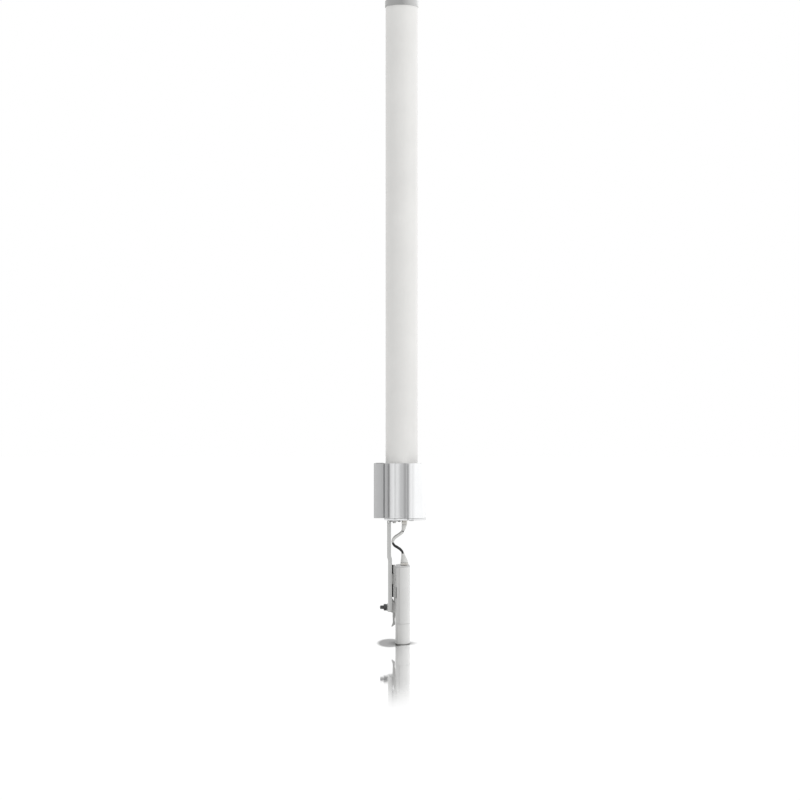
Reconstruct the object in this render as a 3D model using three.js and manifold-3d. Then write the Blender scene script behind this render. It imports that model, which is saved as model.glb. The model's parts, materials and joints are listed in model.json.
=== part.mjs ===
// Outdoor omnidirectional antenna: a long tubular radome in a fluted aluminium pole bracket,
// with a radio hung below it on a folded channel and joined to it by two short jumpers.
// Millimetres, +Z up, +X to the front (away from the pole), origin on the radome axis in the
// plane the radio stands on. Left (-Y) and right (+Y) are as seen from the front.
import * as THREE from "three";
import { mergeVertices } from "three/addons/utils/BufferGeometryUtils.js";
import Module from "manifold-3d";

const wasm = await Module();
wasm.setup();

// ---------------------------------------------------------------- shared dimensions
const GAP = 0.3; // clearance between neighbouring pieces

const TUBE_R = 33; // radome outside radius
const TUBE_BORE_R = TUBE_R - 3;
const TUBE_Z0 = 262;
const TUBE_Z1 = 1314;

const PLATE_Z0 = 252.7; // end plate under the bracket
const PLATE_Z1 = PLATE_Z0 + 4;

const SIDES = [["left", -1], ["right", 1]];
const JACK_X = 5.5;
const JACK_Y = 20;
const JACK_THREAD_R = 3.1;
const JACKS = SIDES.map(([side, sign]) => ({ side, at: [JACK_X, sign * JACK_Y] }));
const HANGER_SCREWS = SIDES.map(([side, sign]) => ({ side, at: [-15, sign * 12] }));
const VENT_AT = [20, 0];

const BOLT_AT = [0, 73.5]; // y, z of the bolt through the channel
const BOLT_R = 4;
const BOLT_BORE_R = BOLT_R + 0.3;

const RADIO_REAR_X = -13;

// ---------------------------------------------------------------- solids
const vectors2 = (points) => points.map(([x, y]) => new THREE.Vector2(x, y));
const shapeOf = (points) => new THREE.Shape(vectors2(points));

// A closed geometry as a solid, its faces turned out.
function solid(geometry) {
  const loose = geometry.index ? geometry.toNonIndexed() : geometry;
  const bare = new THREE.BufferGeometry();
  bare.setAttribute("position", loose.getAttribute("position"));
  const merged = mergeVertices(bare, 1e-4);
  const positions = merged.attributes.position.array;
  const source = merged.index.array;
  const corners = [];
  for (let i = 0; i < source.length; i += 3) {
    const [a, b, c] = source.subarray(i, i + 3);
    if (a !== b && b !== c && a !== c) corners.push(a, b, c);
  }
  const vertex = (i) => new THREE.Vector3().fromArray(positions, corners[i] * 3);
  let volume = 0;
  for (let i = 0; i < corners.length; i += 3) {
    volume += vertex(i).dot(vertex(i + 1).cross(vertex(i + 2)));
  }
  if (volume < 0) {
    for (let i = 0; i < corners.length; i += 3) {
      [corners[i], corners[i + 1]] = [corners[i + 1], corners[i]];
    }
  }
  return new wasm.Manifold(
    new wasm.Mesh({
      numProp: 3,
      vertProperties: new Float32Array(positions),
      triVerts: new Uint32Array(corners),
    }),
  );
}

function geometryOf(manifold) {
  const mesh = manifold.getMesh();
  const geometry = new THREE.BufferGeometry();
  const positions = new Float32Array(mesh.vertProperties);
  geometry.setAttribute("position", new THREE.BufferAttribute(positions, 3));
  geometry.setIndex(new THREE.BufferAttribute(new Uint32Array(mesh.triVerts), 1));
  geometry.computeVertexNormals();
  return geometry;
}

const joined = (...parts) => parts.reduce((whole, part) => whole.add(part));
const cut = (body, ...tools) => tools.reduce((rest, tool) => rest.subtract(tool), body);

// An outline raised by depth, with through-holes, placed by the function given.
function prism(points, depth, holes, place) {
  const raise = (outline, from, to) => {
    const options = { depth: to - from, bevelEnabled: false, steps: 1 };
    return solid(place(new THREE.ExtrudeGeometry(shapeOf(outline), options).translate(0, 0, from)));
  };
  return cut(raise(points, 0, depth), ...holes.map((hole) => raise(hole, -1, depth + 1)));
}
// Plan outline (x, y) raised from z0 to z1.
const prismZ = (points, z0, z1, holes = []) =>
  prism(points, z1 - z0, holes, (geometry) => geometry.translate(0, 0, z0));
// Side outline (x, z) spread from y0 to y1.
const prismY = (points, y0, y1) =>
  prism(points, y1 - y0, [], (geometry) => geometry.rotateX(Math.PI / 2).translate(0, y1, 0));
// Front outline (y, z) spread from x0 to x1.
const OUTLINE_TO_YZ = new THREE.Matrix4().makeBasis(
  new THREE.Vector3(0, 1, 0),
  new THREE.Vector3(0, 0, 1),
  new THREE.Vector3(1, 0, 0),
);
const prismX = (points, x0, x1, holes = []) =>
  prism(points, x1 - x0, holes, (geometry) =>
    geometry.applyMatrix4(OUTLINE_TO_YZ).translate(x0, 0, 0),
  );

const box = (x0, x1, y0, y1, z0, z1) =>
  solid(
    new THREE.BoxGeometry(x1 - x0, y1 - y0, z1 - z0)
      .translate((x0 + x1) / 2, (y0 + y1) / 2, (z0 + z1) / 2),
  );

// Profile [radius, z] turned about a vertical axis through (x, y).
const lathed = (profile, segments, [x, y]) =>
  new THREE.LatheGeometry(vectors2(profile), segments).rotateX(Math.PI / 2).translate(x, y, 0);
const turned = (profile, segments, at = [0, 0]) => solid(lathed(profile, segments, at));
// Profile [radius, x] turned about an axis along X through (y, z).
const turnedX = (profile, segments, [y, z]) =>
  solid(
    new THREE.LatheGeometry(vectors2(profile), segments).rotateZ(-Math.PI / 2).translate(0, y, z),
  );

// Closed profile of a plain ring.
const ringProfile = (inner, outer, from, to) => [
  [inner, from], [outer, from], [outer, to], [inner, to], [inner, from],
];
const ring = (inner, outer, z0, z1, segments) =>
  turned(ringProfile(inner, outer, z0, z1), segments);

const cylinder = (radius, length, segments) =>
  new THREE.CylinderGeometry(radius, radius, length, segments);
const rod = (radius, z0, z1, [x, y], segments) =>
  solid(cylinder(radius, z1 - z0, segments).rotateX(Math.PI / 2).translate(x, y, (z0 + z1) / 2));
const rodX = (radius, x0, x1, [y, z], segments) =>
  solid(cylinder(radius, x1 - x0, segments).rotateZ(Math.PI / 2).translate((x0 + x1) / 2, y, z));
const rodY = (radius, y0, y1, [x, z], segments) =>
  solid(cylinder(radius, y1 - y0, segments).translate(x, (y0 + y1) / 2, z));

// A smooth line through a list of points.
const lineThrough = (points) =>
  new THREE.CatmullRomCurve3(
    points.map((point) => new THREE.Vector3(...point)),
    false,
    "centripetal",
  );
// A round section swept along a line.
const swept = (line, radius, sides, steps) => {
  const options = { steps, extrudePath: line, bevelEnabled: false };
  return solid(new THREE.ExtrudeGeometry(shapeOf(circle(radius, sides)), options));
};

// ---------------------------------------------------------------- outlines
const polar = (x, y, radius, degrees) => {
  const angle = (degrees * Math.PI) / 180;
  return [x + radius * Math.cos(angle), y + radius * Math.sin(angle)];
};
const circle = (radius, count, [x, y] = [0, 0]) =>
  Array.from({ length: count }, (_, i) => polar(x, y, radius, (i / count) * 360));

function roundedRect(x0, x1, y0, y1, radius, cornerSteps) {
  const corners = [
    [x1 - radius, y1 - radius, 0],
    [x0 + radius, y1 - radius, 90],
    [x0 + radius, y0 + radius, 180],
    [x1 - radius, y0 + radius, 270],
  ];
  return corners.flatMap(([x, y, start]) =>
    Array.from({ length: cornerSteps + 1 }, (_, i) =>
      polar(x, y, radius, start + (90 * i) / cornerSteps),
    ),
  );
}

const flipY = (points) => points.map(([x, y]) => [x, -y]);
// Closes a half outline with its mirror image across y = 0.
const mirrored = (half) => [...half, ...flipY(half.filter(([, y]) => y !== 0)).reverse()];

// ---------------------------------------------------------------- materials
const WHITE_PLASTIC = { color: 0xe4e3e0, roughness: 0.55 };
const GREY_PLASTIC = { color: 0xc9c9c7, roughness: 0.4 };
const RADIO_PLASTIC = { color: 0xdededc, roughness: 0.5 };
const DARK_PLASTIC = { color: 0x7d7d7c, roughness: 0.55 };
const BLACK_RUBBER = { color: 0x161616, roughness: 0.75 };
const GREY_RUBBER = { color: 0xbfbfbb, roughness: 0.7 };
const ALUMINIUM = { color: 0xd2d4d5, roughness: 0.32, metalness: 0.95 };
const SATIN_ALUMINIUM = { color: 0xbdbebe, roughness: 0.45, metalness: 0.9 };
const STEEL = { color: 0xb5b6b6, roughness: 0.35, metalness: 1 };
const DARK_STEEL = { color: 0x5d5e60, roughness: 0.5, metalness: 0.85 };
const BRASS = { color: 0xc9a24e, roughness: 0.3, metalness: 1 };
const NICKEL = { color: 0xc4c2bc, roughness: 0.25, metalness: 1 };
const BOARD_GREEN = { color: 0x1f5a3a, roughness: 0.5 };
const FOAM = { color: 0xe9e6dc, roughness: 0.95 };
const CLEAR = { color: 0xe8eef2, roughness: 0.15 };

// ---------------------------------------------------------------- groups
const antenna = new THREE.Group();
antenna.name = "omnidirectional_antenna";
const radio = new THREE.Group();
const jumpers = new THREE.Group();
antenna.add(radio, jumpers);

function piece(name, body, look, parent = antenna) {
  const mesh = new THREE.Mesh(geometryOf(body), new THREE.MeshStandardMaterial(look));
  mesh.name = name;
  parent.add(mesh);
}

// ---------------------------------------------------------------- radome and top cap
const CAP_R = 34.3;
const CAP_SKIRT_Z = 1303;
const CAP_TOP_Z = 1319.2;
const SPIGOT_R = TUBE_BORE_R - 0.4; // cap and plug inside the tube
const GROOVE_R = 28.1;
const CAP_GROOVE = [1302.4, 1306]; // z range
const PLUG_GROOVE = [265.4, 269];

// A seal ring seated in a groove.
const seal = ([z0, z1]) => ring(GROOVE_R + GAP, TUBE_BORE_R - 0.1, z0 + 0.4, z1 - 0.4, 24);

piece("radome_tube", ring(TUBE_BORE_R, TUBE_R, TUBE_Z0, TUBE_Z1, 40), WHITE_PLASTIC);

// Radius, z: up the spigot, over the tube end and down to the skirt, then over the crown.
const capProfile = [
  [0, 1310], [26.4, 1310], [26.4, 1299], [SPIGOT_R, 1299],
  [SPIGOT_R, CAP_GROOVE[0]], [GROOVE_R, CAP_GROOVE[0]],
  [GROOVE_R, CAP_GROOVE[1]], [SPIGOT_R, CAP_GROOVE[1]],
  [SPIGOT_R, TUBE_Z1 + GAP], [TUBE_R + GAP, TUBE_Z1 + GAP],
  [TUBE_R + GAP, CAP_SKIRT_Z], [CAP_R, CAP_SKIRT_Z],
  [CAP_R, 1315.4], [CAP_R - 0.9, 1316.8], [27, 1318.2], [14, 1319], [0, CAP_TOP_Z],
];
piece("top_cap", turned(capProfile, 32), GREY_PLASTIC);
piece("top_cap_seal", seal(CAP_GROOVE), BLACK_RUBBER);

// ---------------------------------------------------------------- radiating boards
// They stand back to back on an aluminium strip up the middle of the tube.
const SPINE_X = 1; // half its thickness
const SPINE_Y = 22; // half its width
const RADIATOR_X0 = SPINE_X + GAP;
const RADIATOR_X1 = RADIATOR_X0 + 1.6;

piece("radiator_spine", box(-SPINE_X, SPINE_X, -SPINE_Y, SPINE_Y, 290, 1292), SATIN_ALUMINIUM);
for (const [name, x0, x1] of [
  ["vertical", RADIATOR_X0, RADIATOR_X1],
  ["horizontal", -RADIATOR_X1, -RADIATOR_X0],
]) {
  piece("radiator_board_" + name, box(x0, x1, -18, 18, 315, 1275), BOARD_GREEN);
}

const FOAM_HEIGHT = 22;
const slotX = RADIATOR_X1 + GAP;
const slotY = SPINE_Y + GAP;
const foamSlot = roundedRect(-slotX, slotX, -slotY, slotY, 0.5, 1);
for (const [name, z] of [["lower", 420], ["middle", 790], ["upper", 1160]]) {
  const body = prismZ(circle(SPIGOT_R, 32), z, z + FOAM_HEIGHT, [foamSlot]);
  piece("foam_spacer_" + name, body, FOAM);
}

// ---------------------------------------------------------------- base plug and feeds
// Radius, z: flange under the foot of the tube, then the spigot with its seal groove.
const plugProfile = [
  [0, PLATE_Z1 + GAP], [TUBE_R, PLATE_Z1 + GAP],
  [TUBE_R, TUBE_Z0 - GAP], [SPIGOT_R, TUBE_Z0 - GAP],
  [SPIGOT_R, PLUG_GROOVE[0]], [GROOVE_R, PLUG_GROOVE[0]],
  [GROOVE_R, PLUG_GROOVE[1]], [SPIGOT_R, PLUG_GROOVE[1]],
  [SPIGOT_R, 274], [0, 274],
];
const plugHole = (radius, at, segments) => rod(radius, 250, 280, at, segments);
piece(
  "base_plug",
  cut(
    turned(plugProfile, 28),
    ...JACKS.map(({ at }) => plugHole(6, at, 16)),
    plugHole(4.4, VENT_AT, 16),
    ...HANGER_SCREWS.map(({ at }) => plugHole(2.6, at, 12)),
  ),
  DARK_PLASTIC,
);
piece("base_plug_seal", seal(PLUG_GROOVE), BLACK_RUBBER);

// Centre lines x, y, z from each jack to its side of the boards.
const FEED_LINES = {
  left: [
    [JACK_X, -JACK_Y, 271.6], [JACK_X, -JACK_Y, 279], [5.2, -13, 291],
    [4.75, -4, 306], [4.75, -2, 330],
  ],
  right: [
    [JACK_X, JACK_Y, 271.6], [JACK_X, JACK_Y, 276.5], [1, 15, 282.5], [-3.4, 10, 288],
    [-4.75, 4, 303], [-4.75, 2, 330],
  ],
};
for (const [side, points] of Object.entries(FEED_LINES)) {
  piece("feed_coax_" + side, swept(lineThrough(points), 1.4, 6, 16), BRASS);
}

// ---------------------------------------------------------------- bracket
const BRACKET_Z0 = PLATE_Z1 + GAP;
const BRACKET_Z1 = BRACKET_Z0 + 112;
const BRACKET_BORE_R = TUBE_R + 0.4;
const WING_X = -57; // rear tips that bear on the pole
const WING_Y = 30;
const NOSE_X = 50;
const SEAT_START = [-41, 3];
const SEAT_END = [WING_X + 0.6, WING_Y - 6.6];
const SEAT_NORMAL = [0.795, 0.606];
const SEAT_TEETH = 9;
const NOTCH_DEPTH = 1.1;
const LOBE_AT = [-13, 29];
const LOBE_R = 14.5;
const PLATE_SCREWS = [[-22, 33], [-5, 38.3], [-22, -33], [-5, -38.3]]; // x, y

// A point part of the way along the pole seat, sunk into the wing.
const seatPoint = (fraction, depth) =>
  [0, 1].map(
    (i) => SEAT_START[i] + (SEAT_END[i] - SEAT_START[i]) * fraction + SEAT_NORMAL[i] * depth,
  );

// Half outline of the wing: out along the toothed pole seat, then forward on its side.
function wingHalf() {
  const outline = [[-40.7, 0], SEAT_START];
  for (let i = 0; i < SEAT_TEETH; i++) {
    outline.push(seatPoint((i + 0.5) / SEAT_TEETH, NOTCH_DEPTH));
    outline.push(seatPoint((i + 1) / SEAT_TEETH, 0));
  }
  outline.push(
    [WING_X, WING_Y - 6], [WING_X, WING_Y],
    [-44.3, WING_Y], [-43.5, WING_Y - 0.6], [-42.7, WING_Y],
    [-37.4, WING_Y], [-37.1, 27.2],
  );
  return outline;
}

// Points on the rear lobe, every 8 degrees.
function lobeArc(from, to) {
  const points = [];
  for (let degrees = from; degrees >= to; degrees -= 8) {
    points.push(polar(...LOBE_AT, LOBE_R, degrees));
  }
  return points;
}

// Half outline of the two lobes and the nose.
const bodyHalf = [
  [-35.6, 27.2], [-35.2, 28.4], [-33.4, 28.7], [-31.2, 29.6], [-29.2, 31], [-27.7, 32.6],
  ...lobeArc(160, 104),
  [-14.4, 43.4], [-13.7, 42.6], [-13, 43.5], // score line on the crown
  ...lobeArc(80, 32),
  [1.5, 36.3], [4, 35.9], [7, 35.8], [9.5, 36.2], [11.5, 37.4], [13.2, 39.5], [15.5, 42],
  [18.5, 43.6], [22, 44.2], [26, 43.8], [30.5, 42], [35, 38.8], [39, 34.5], [42.8, 29],
  [45.9, 22.5], [48.2, 15.5], [49.6, 7.8], [NOSE_X, 0],
];

// Hollow cells of the extrusion on the +Y side, x, y.
const REAR_CELL = [
  [-52.5, 26.8], [-39, 26.8], [-33.2, 18.5], [-36.6, 9.5], [-38.8, 7.8], [-51.4, 24.2],
];
const FRONT_CELL = [
  [14.6, 37.6], [18, 40.2], [23, 41], [29.5, 39.2], [36, 33.6], [41.2, 25.6], [44.6, 15.8],
  [46.6, 2.2], [37.4, 2.2], [36, 10.4], [31.6, 20], [24.6, 28.2], [15.8, 34.2],
];
piece(
  "bracket_extrusion",
  prismZ(mirrored([...wingHalf(), ...bodyHalf]), BRACKET_Z0, BRACKET_Z1, [
    circle(BRACKET_BORE_R, 44),
    REAR_CELL,
    flipY(REAR_CELL),
    FRONT_CELL,
    flipY(FRONT_CELL),
    ...PLATE_SCREWS.map((at) => circle(1.9, 8, at)),
  ]),
  ALUMINIUM,
);

piece(
  "base_end_plate",
  prismZ(mirrored(bodyHalf), PLATE_Z0, PLATE_Z1, [
    ...JACKS.map(({ at }) => circle(3.5, 12, at)),
    circle(3.4, 12, VENT_AT),
    ...HANGER_SCREWS.map(({ at }) => circle(2.4, 10, at)),
    ...PLATE_SCREWS.map((at) => circle(2.1, 10, at)),
  ]),
  ALUMINIUM,
);

// Everything fixed from below stops short of the plate.
const UNDER_PLATE_Z = PLATE_Z0 - GAP;
const plateScrewProfile = [
  [0, 249.7], [2.2, 249.7], [3.3, 250.6], [3.4, UNDER_PLATE_Z],
  [1.5, UNDER_PLATE_Z], [1.5, 268], [0, 268.8],
];
PLATE_SCREWS.forEach((at, i) =>
  piece("end_plate_screw_" + (i + 1), turned(plateScrewProfile, 14, at), STEEL),
);

// Jacks: flange above the plate, thread below it, hexagon nut against the underside.
const jackProfile = [
  [0, 246], [1.6, 246], [1.6, 244.6], [JACK_THREAD_R, 244.6],
  [JACK_THREAD_R, PLATE_Z1 + GAP], [5.5, PLATE_Z1 + GAP],
  [5.5, 260.4], [3, 260.4], [3, 271.2], [0, 271.2],
];
for (const { side, at } of JACKS) {
  piece("antenna_jack_" + side, turned(jackProfile, 18, at), BRASS);
  const bore = circle(JACK_THREAD_R + GAP, 18, at);
  piece("jack_nut_" + side, prismZ(circle(6.2, 6, at), 250.1, UNDER_PLATE_Z, [bore]), NICKEL);
}

const ventProfile = [
  [0, 250.3], [4.4, 250.3], [5, 251], [5, UNDER_PLATE_Z],
  [3.1, UNDER_PLATE_Z], [3.1, 262], [0, 262],
];
piece("vent_plug", turned(ventProfile, 20, VENT_AT), DARK_PLASTIC);

// ---------------------------------------------------------------- hanger channel
const CHANNEL_HALF_W = 20;
const CHANNEL_DEPTH = 8.1;
const SHEET = 2.5;
const UPPER_X = -30; // rear face above the joggle
const LOWER_X = -28; // rear face below the joggle
const CHANNEL_Z0 = 65;
const CHANNEL_Z1 = UNDER_PLATE_Z;
const JOGGLE_Z0 = 171;
const JOGGLE_Z1 = 177;
const LEDGE_X = -6; // front edge of the folded top

// Side outlines, x, z.
const webSide = [
  [LOWER_X, CHANNEL_Z0], [LOWER_X + SHEET, CHANNEL_Z0],
  [LOWER_X + SHEET, JOGGLE_Z0], [UPPER_X + SHEET, JOGGLE_Z1],
  [UPPER_X + SHEET, CHANNEL_Z1 - SHEET], [LEDGE_X, CHANNEL_Z1 - SHEET],
  [LEDGE_X, CHANNEL_Z1], [UPPER_X, CHANNEL_Z1],
  [UPPER_X, JOGGLE_Z1], [LOWER_X, JOGGLE_Z0],
];
const flangeSide = [
  [LOWER_X, CHANNEL_Z0 + 1], [LOWER_X + CHANNEL_DEPTH - 2, CHANNEL_Z0 + 1],
  [LOWER_X + CHANNEL_DEPTH, CHANNEL_Z0 + 4], [LOWER_X + CHANNEL_DEPTH, JOGGLE_Z0],
  [UPPER_X + CHANNEL_DEPTH, JOGGLE_Z1], [UPPER_X + CHANNEL_DEPTH, CHANNEL_Z1 - 5],
  [UPPER_X + CHANNEL_DEPTH - 2, CHANNEL_Z1 - 2], [UPPER_X + 0.4, CHANNEL_Z1 - 2],
  [UPPER_X, JOGGLE_Z1], [LOWER_X, JOGGLE_Z0],
];
const webSlot = (z0, z1) => prismX(roundedRect(-4, 4, z0, z1, 3.9, 4), -40, -10);
piece(
  "hanger_channel",
  cut(
    joined(
      prismY(webSide, -CHANNEL_HALF_W, CHANNEL_HALF_W),
      prismY(flangeSide, -CHANNEL_HALF_W, -CHANNEL_HALF_W + SHEET),
      prismY(flangeSide, CHANNEL_HALF_W - SHEET, CHANNEL_HALF_W),
    ),
    rodX(BOLT_R + 0.4, -40, -10, BOLT_AT, 16),
    webSlot(124, 141),
    webSlot(200, 224),
    ...HANGER_SCREWS.map(({ at }) => rod(2.4, 245, 256, at, 12)),
  ),
  SATIN_ALUMINIUM,
);

const UNDER_LEDGE_Z = CHANNEL_Z1 - SHEET - GAP;
const hangerScrewProfile = [
  [0, 246.2], [2.8, 246.2], [4, 247.2], [4, UNDER_LEDGE_Z],
  [2, UNDER_LEDGE_Z], [2, 266], [0, 267],
];
for (const { side, at } of HANGER_SCREWS) {
  piece("hanger_screw_" + side, turned(hangerScrewProfile, 14, at), STEEL);
}

// ---------------------------------------------------------------- mount bolt
// It runs from the cleat back through the channel, with washer and nut on the rear.
const BOLT_TIP_X = -44.5;
// Radius, x.
const boltHeadProfile = [[0, -16.9], [6.2, -16.9], [6.2, -18.2], [3.6, -20.4], [0, -20.4]];
const boltTipProfile = [
  [0, BOLT_TIP_X], [2.8, BOLT_TIP_X], [BOLT_R, BOLT_TIP_X + 1.5], [0, BOLT_TIP_X + 1.5],
];
piece(
  "mount_bolt",
  joined(
    turnedX(boltHeadProfile, 16, BOLT_AT),
    rodX(BOLT_R, BOLT_TIP_X + 1.4, -18, BOLT_AT, 16),
    turnedX(boltTipProfile, 16, BOLT_AT),
  ),
  DARK_STEEL,
);
const washerProfile = ringProfile(BOLT_BORE_R, 8, -29.9, LOWER_X - GAP);
piece("mount_washer", turnedX(washerProfile, 20, BOLT_AT), STEEL);
const nutBore = circle(BOLT_BORE_R, 18, BOLT_AT);
piece("mount_nut", prismX(circle(7.5, 6, BOLT_AT), -36.9, -30.2, [nutBore]), DARK_STEEL);

// ---------------------------------------------------------------- radio mount
const CLEAT_X0 = -16.4; // rear face of the cleat's plate
const CLEAT_X1 = RADIO_REAR_X - GAP;
const PAD_X = -24.9; // rear face of the pad and the foot, inside the channel
const PAD_HALF_W = 17;
const PIN_AT = [-16.6, 57]; // x, z
const footSide = [[PAD_X, 94], [PAD_X, 66], [-16, 62], [-16, 84], [-20.6, 94]];
const pinHole = () => rodY(1.55, -20, 20, PIN_AT, 12);

// Plastic cleat: plate on the radio, pad in the channel, sloping foot and two latch ears.
piece(
  "radio_mount",
  cut(
    joined(
      prismX(roundedRect(-21, 21, 62, 160, 5, 3), CLEAT_X0, CLEAT_X1),
      box(PAD_X, -16, -PAD_HALF_W, PAD_HALF_W, 121, 143),
      prismY(footSide, -PAD_HALF_W, PAD_HALF_W),
      box(-18.6, CLEAT_X1, -15, -10, 52, 66),
      box(-18.6, CLEAT_X1, 10, 15, 52, 66),
    ),
    rodX(BOLT_BORE_R, -30, -12, BOLT_AT, 16),
    rodX(6.8, -20.9, -10, BOLT_AT, 16), // room for the bolt head
    pinHole(),
  ),
  RADIO_PLASTIC,
);

// Rubber strips that fill the gap between the channel and the cleat, above and below its pad.
for (const [name, z0, z1] of [["upper", 143.5, 160.5], ["lower", 94.5, 120.5]]) {
  const strip = box(LOWER_X + SHEET + GAP, CLEAT_X0 - GAP, -4.5, 4.5, z0, z1);
  piece("mount_pad_" + name, strip, BLACK_RUBBER);
}

// The latch hangs on its pin, behind the radio's back, and ends in a rearward tail.
const latchSide = [
  [-18.8, 59.4], [-14.6, 59.4], [-14.2, 44], [-13.6, 42], [-13.6, 38.5], [-15.2, 37.5],
  [-20.4, 33.6], [-21.2, 35.4], [-18.4, 42],
];
piece("mount_latch", cut(prismY(latchSide, -9.6, 9.6), pinHole()), RADIO_PLASTIC);
piece("latch_pin", rodY(1.2, -14.6, 14.6, PIN_AT, 12), STEEL);

// ---------------------------------------------------------------- radio housing
const RADIO_SEAM_X = -5.5;
const RADIO_FRONT_X = 17;
const RADIO_HALF_W = 40;
const RADIO_WALL = 2.2;
const RADIO_Z1 = 160;
const SHELL_Z0 = 42;
const SHELL_Z1 = 157.5;
const COVER_Z1 = SHELL_Z0 - GAP;
const FRONT_POWER = 2.7; // superellipse powers: higher is squarer
const REAR_POWER = 3.6;
const BUTTON_AT = [5, -8];
const LIGHT_AT = [5, -17];

// Plan outline of the radio, pulled in all round by inset: a full, softly squared front and
// a shallower back.
function radioOutline(inset) {
  const halfWidth = RADIO_HALF_W - inset;
  const frontDepth = RADIO_FRONT_X - RADIO_SEAM_X - inset;
  const rearDepth = RADIO_SEAM_X - RADIO_REAR_X - inset;
  const half = [];
  for (let i = 0; i <= 16; i++) {
    const angle = (i / 16) * (Math.PI / 2);
    half.push([
      RADIO_SEAM_X + frontDepth * Math.cos(angle) ** (2 / FRONT_POWER),
      halfWidth * Math.sin(angle) ** (2 / FRONT_POWER),
    ]);
  }
  for (let i = 1; i <= 8; i++) {
    const angle = (i / 8) * (Math.PI / 2);
    half.push([
      RADIO_SEAM_X - rearDepth * Math.sin(angle) ** (2 / REAR_POWER),
      halfWidth * Math.cos(angle) ** (2 / REAR_POWER),
    ]);
  }
  half.at(-1)[1] = 0; // exactly on the mirror line
  return mirrored(half);
}
const slab = (inset, z0, z1) => prismZ(radioOutline(inset), z0, z1);
// Open-topped tray in the radio's outline.
const tray = (z0, z1, floor) => cut(slab(0, z0, z1), slab(RADIO_WALL, z0 + floor, z1 + 5));

const shell = tray(SHELL_Z0, SHELL_Z1, 2.4);
piece(
  "radio_front_shell",
  cut(
    shell,
    box(-40, RADIO_SEAM_X + GAP / 2, -60, 60, -20, 200), // rear half
    box(-1.8, 11.3, 7.7, 24.3, 40, 46), // network port
    box(-4, -1.2, -28.4, 28.4, 40, 46), // board tail
    rod(2.2, 38, 48, BUTTON_AT, 12),
    rod(1.4, 38, 48, LIGHT_AT, 12),
  ),
  RADIO_PLASTIC,
  radio,
);
piece(
  "radio_back_shell",
  joined(
    cut(shell, box(RADIO_SEAM_X - GAP / 2, 60, -60, 60, -20, 200)),
    box(-10.2, -7.8, -24, 24, 6, SHELL_Z0 + 1), // tongue down into the port cover
  ),
  RADIO_PLASTIC,
  radio,
);
piece(
  "shell_gasket",
  prismX(roundedRect(-37.2, 37.2, 45, 152.8, 3, 2), RADIO_SEAM_X - 1.1, RADIO_SEAM_X + 1.1, [
    roundedRect(-35.6, 35.6, 46.6, 151.2, 2, 2),
  ]),
  BLACK_RUBBER,
  radio,
);
piece(
  "connector_panel",
  cut(
    joined(
      slab(0.5, SHELL_Z1 + GAP, RADIO_Z1),
      slab(RADIO_WALL + GAP, SHELL_Z1 - 3.8, SHELL_Z1 + 0.6),
    ),
    ...JACKS.map(({ at }) => rod(3.5, 150, 170, at, 16)),
  ),
  DARK_PLASTIC,
  radio,
);

// ---------------------------------------------------------------- radio fittings
piece(
  "radio_board",
  joined(box(-3.4, -1.8, -34, 34, 48, 150), box(-3.4, -1.8, -28, 28, 34, 49)),
  BOARD_GREEN,
  radio,
);
piece(
  "rf_shield",
  cut(box(-1.5, 3.5, -30, 30, 62, 128), box(-2, 3, -29.4, 29.4, 62.6, 127.4)),
  NICKEL,
  radio,
);

const radioJackProfile = [
  [0, 143], [1.2, 143], [1.2, 148.6], [5.2, 148.6], [5.2, 153.3], [JACK_THREAD_R, 153.3],
  [JACK_THREAD_R, 165.8], [1.6, 165.8], [1.6, 164.2], [0, 164.2],
];
for (const { side, at } of JACKS) {
  piece("radio_jack_" + side, turned(radioJackProfile, 18, at), BRASS, radio);
}

piece(
  "ethernet_jack",
  cut(
    box(-1.5, 11, 8, 24, 30, 51),
    box(0.2, 8.6, 9.8, 22.2, 28, 46), // socket
    box(8.4, 9.9, 13, 19, 28, 44), // keyway
  ),
  NICKEL,
  radio,
);

const buttonProfile = [
  [0, 37], [1.4, 37], [1.8, 37.5], [1.8, 44.8], [3, 44.8], [3, 46.3], [1.6, 46.3],
  [1.6, 50], [0, 50],
];
piece("reset_button", turned(buttonProfile, 16, BUTTON_AT), DARK_PLASTIC, radio);
const lightProfile = [[0, 40.4], [0.8, 40.6], [1.1, 41.2], [1.1, 52], [0, 52]];
piece("light_pipe", turned(lightProfile, 12, LIGHT_AT), CLEAR, radio);

// The round hole is in the floor, below the network port.
piece("port_cover", cut(tray(0, COVER_Z1, 2.6), rod(5, -5, 8, [5, 16], 18)), RADIO_PLASTIC, radio);

const GROUND_AT = [29, 128]; // y, z
const groundHeadProfile = [
  [0, -16], [2.7, -15.6], [3.2, -14.8], [3.2, RADIO_REAR_X - GAP], [0, RADIO_REAR_X - GAP],
];
piece(
  "ground_screw",
  joined(
    turnedX(groundHeadProfile, 14, GROUND_AT),
    rodX(1.3, RADIO_REAR_X - 0.6, RADIO_REAR_X - 0.1, GROUND_AT, 10),
  ),
  STEEL,
  radio,
);

// ---------------------------------------------------------------- jumpers
const CABLE_R = 1.95;
const SLEEVE_R = 2.75;
const BOOT_BORE_R = 2.3;
const NUT_BORE_R = 3.5;
const TOP_BOOT = { wideZ: 243.7, tipZ: 231, leanBack: 2.4 };
const BOTTOM_BOOT = { wideZ: 166.2, tipZ: 184.5, leanBack: 3.2 };
// Centre line of a jumper in side view, x, z, from the upper boot to the lower one.
const JUMPER_LINE = [
  [5.27, 242.5], [4.23, 237], [3.1, 231.2], [-0.4, 226.4], [-5.8, 222.2], [-12.4, 217.8],
  [-17.2, 212.2], [-18.2, 206], [-14.9, 200.2], [-8.4, 196.1], [-2.5, 191.9], [1.4, 187],
  [3.1, 180], [4.2, 173.6], [5.08, 168.6],
];
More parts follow.
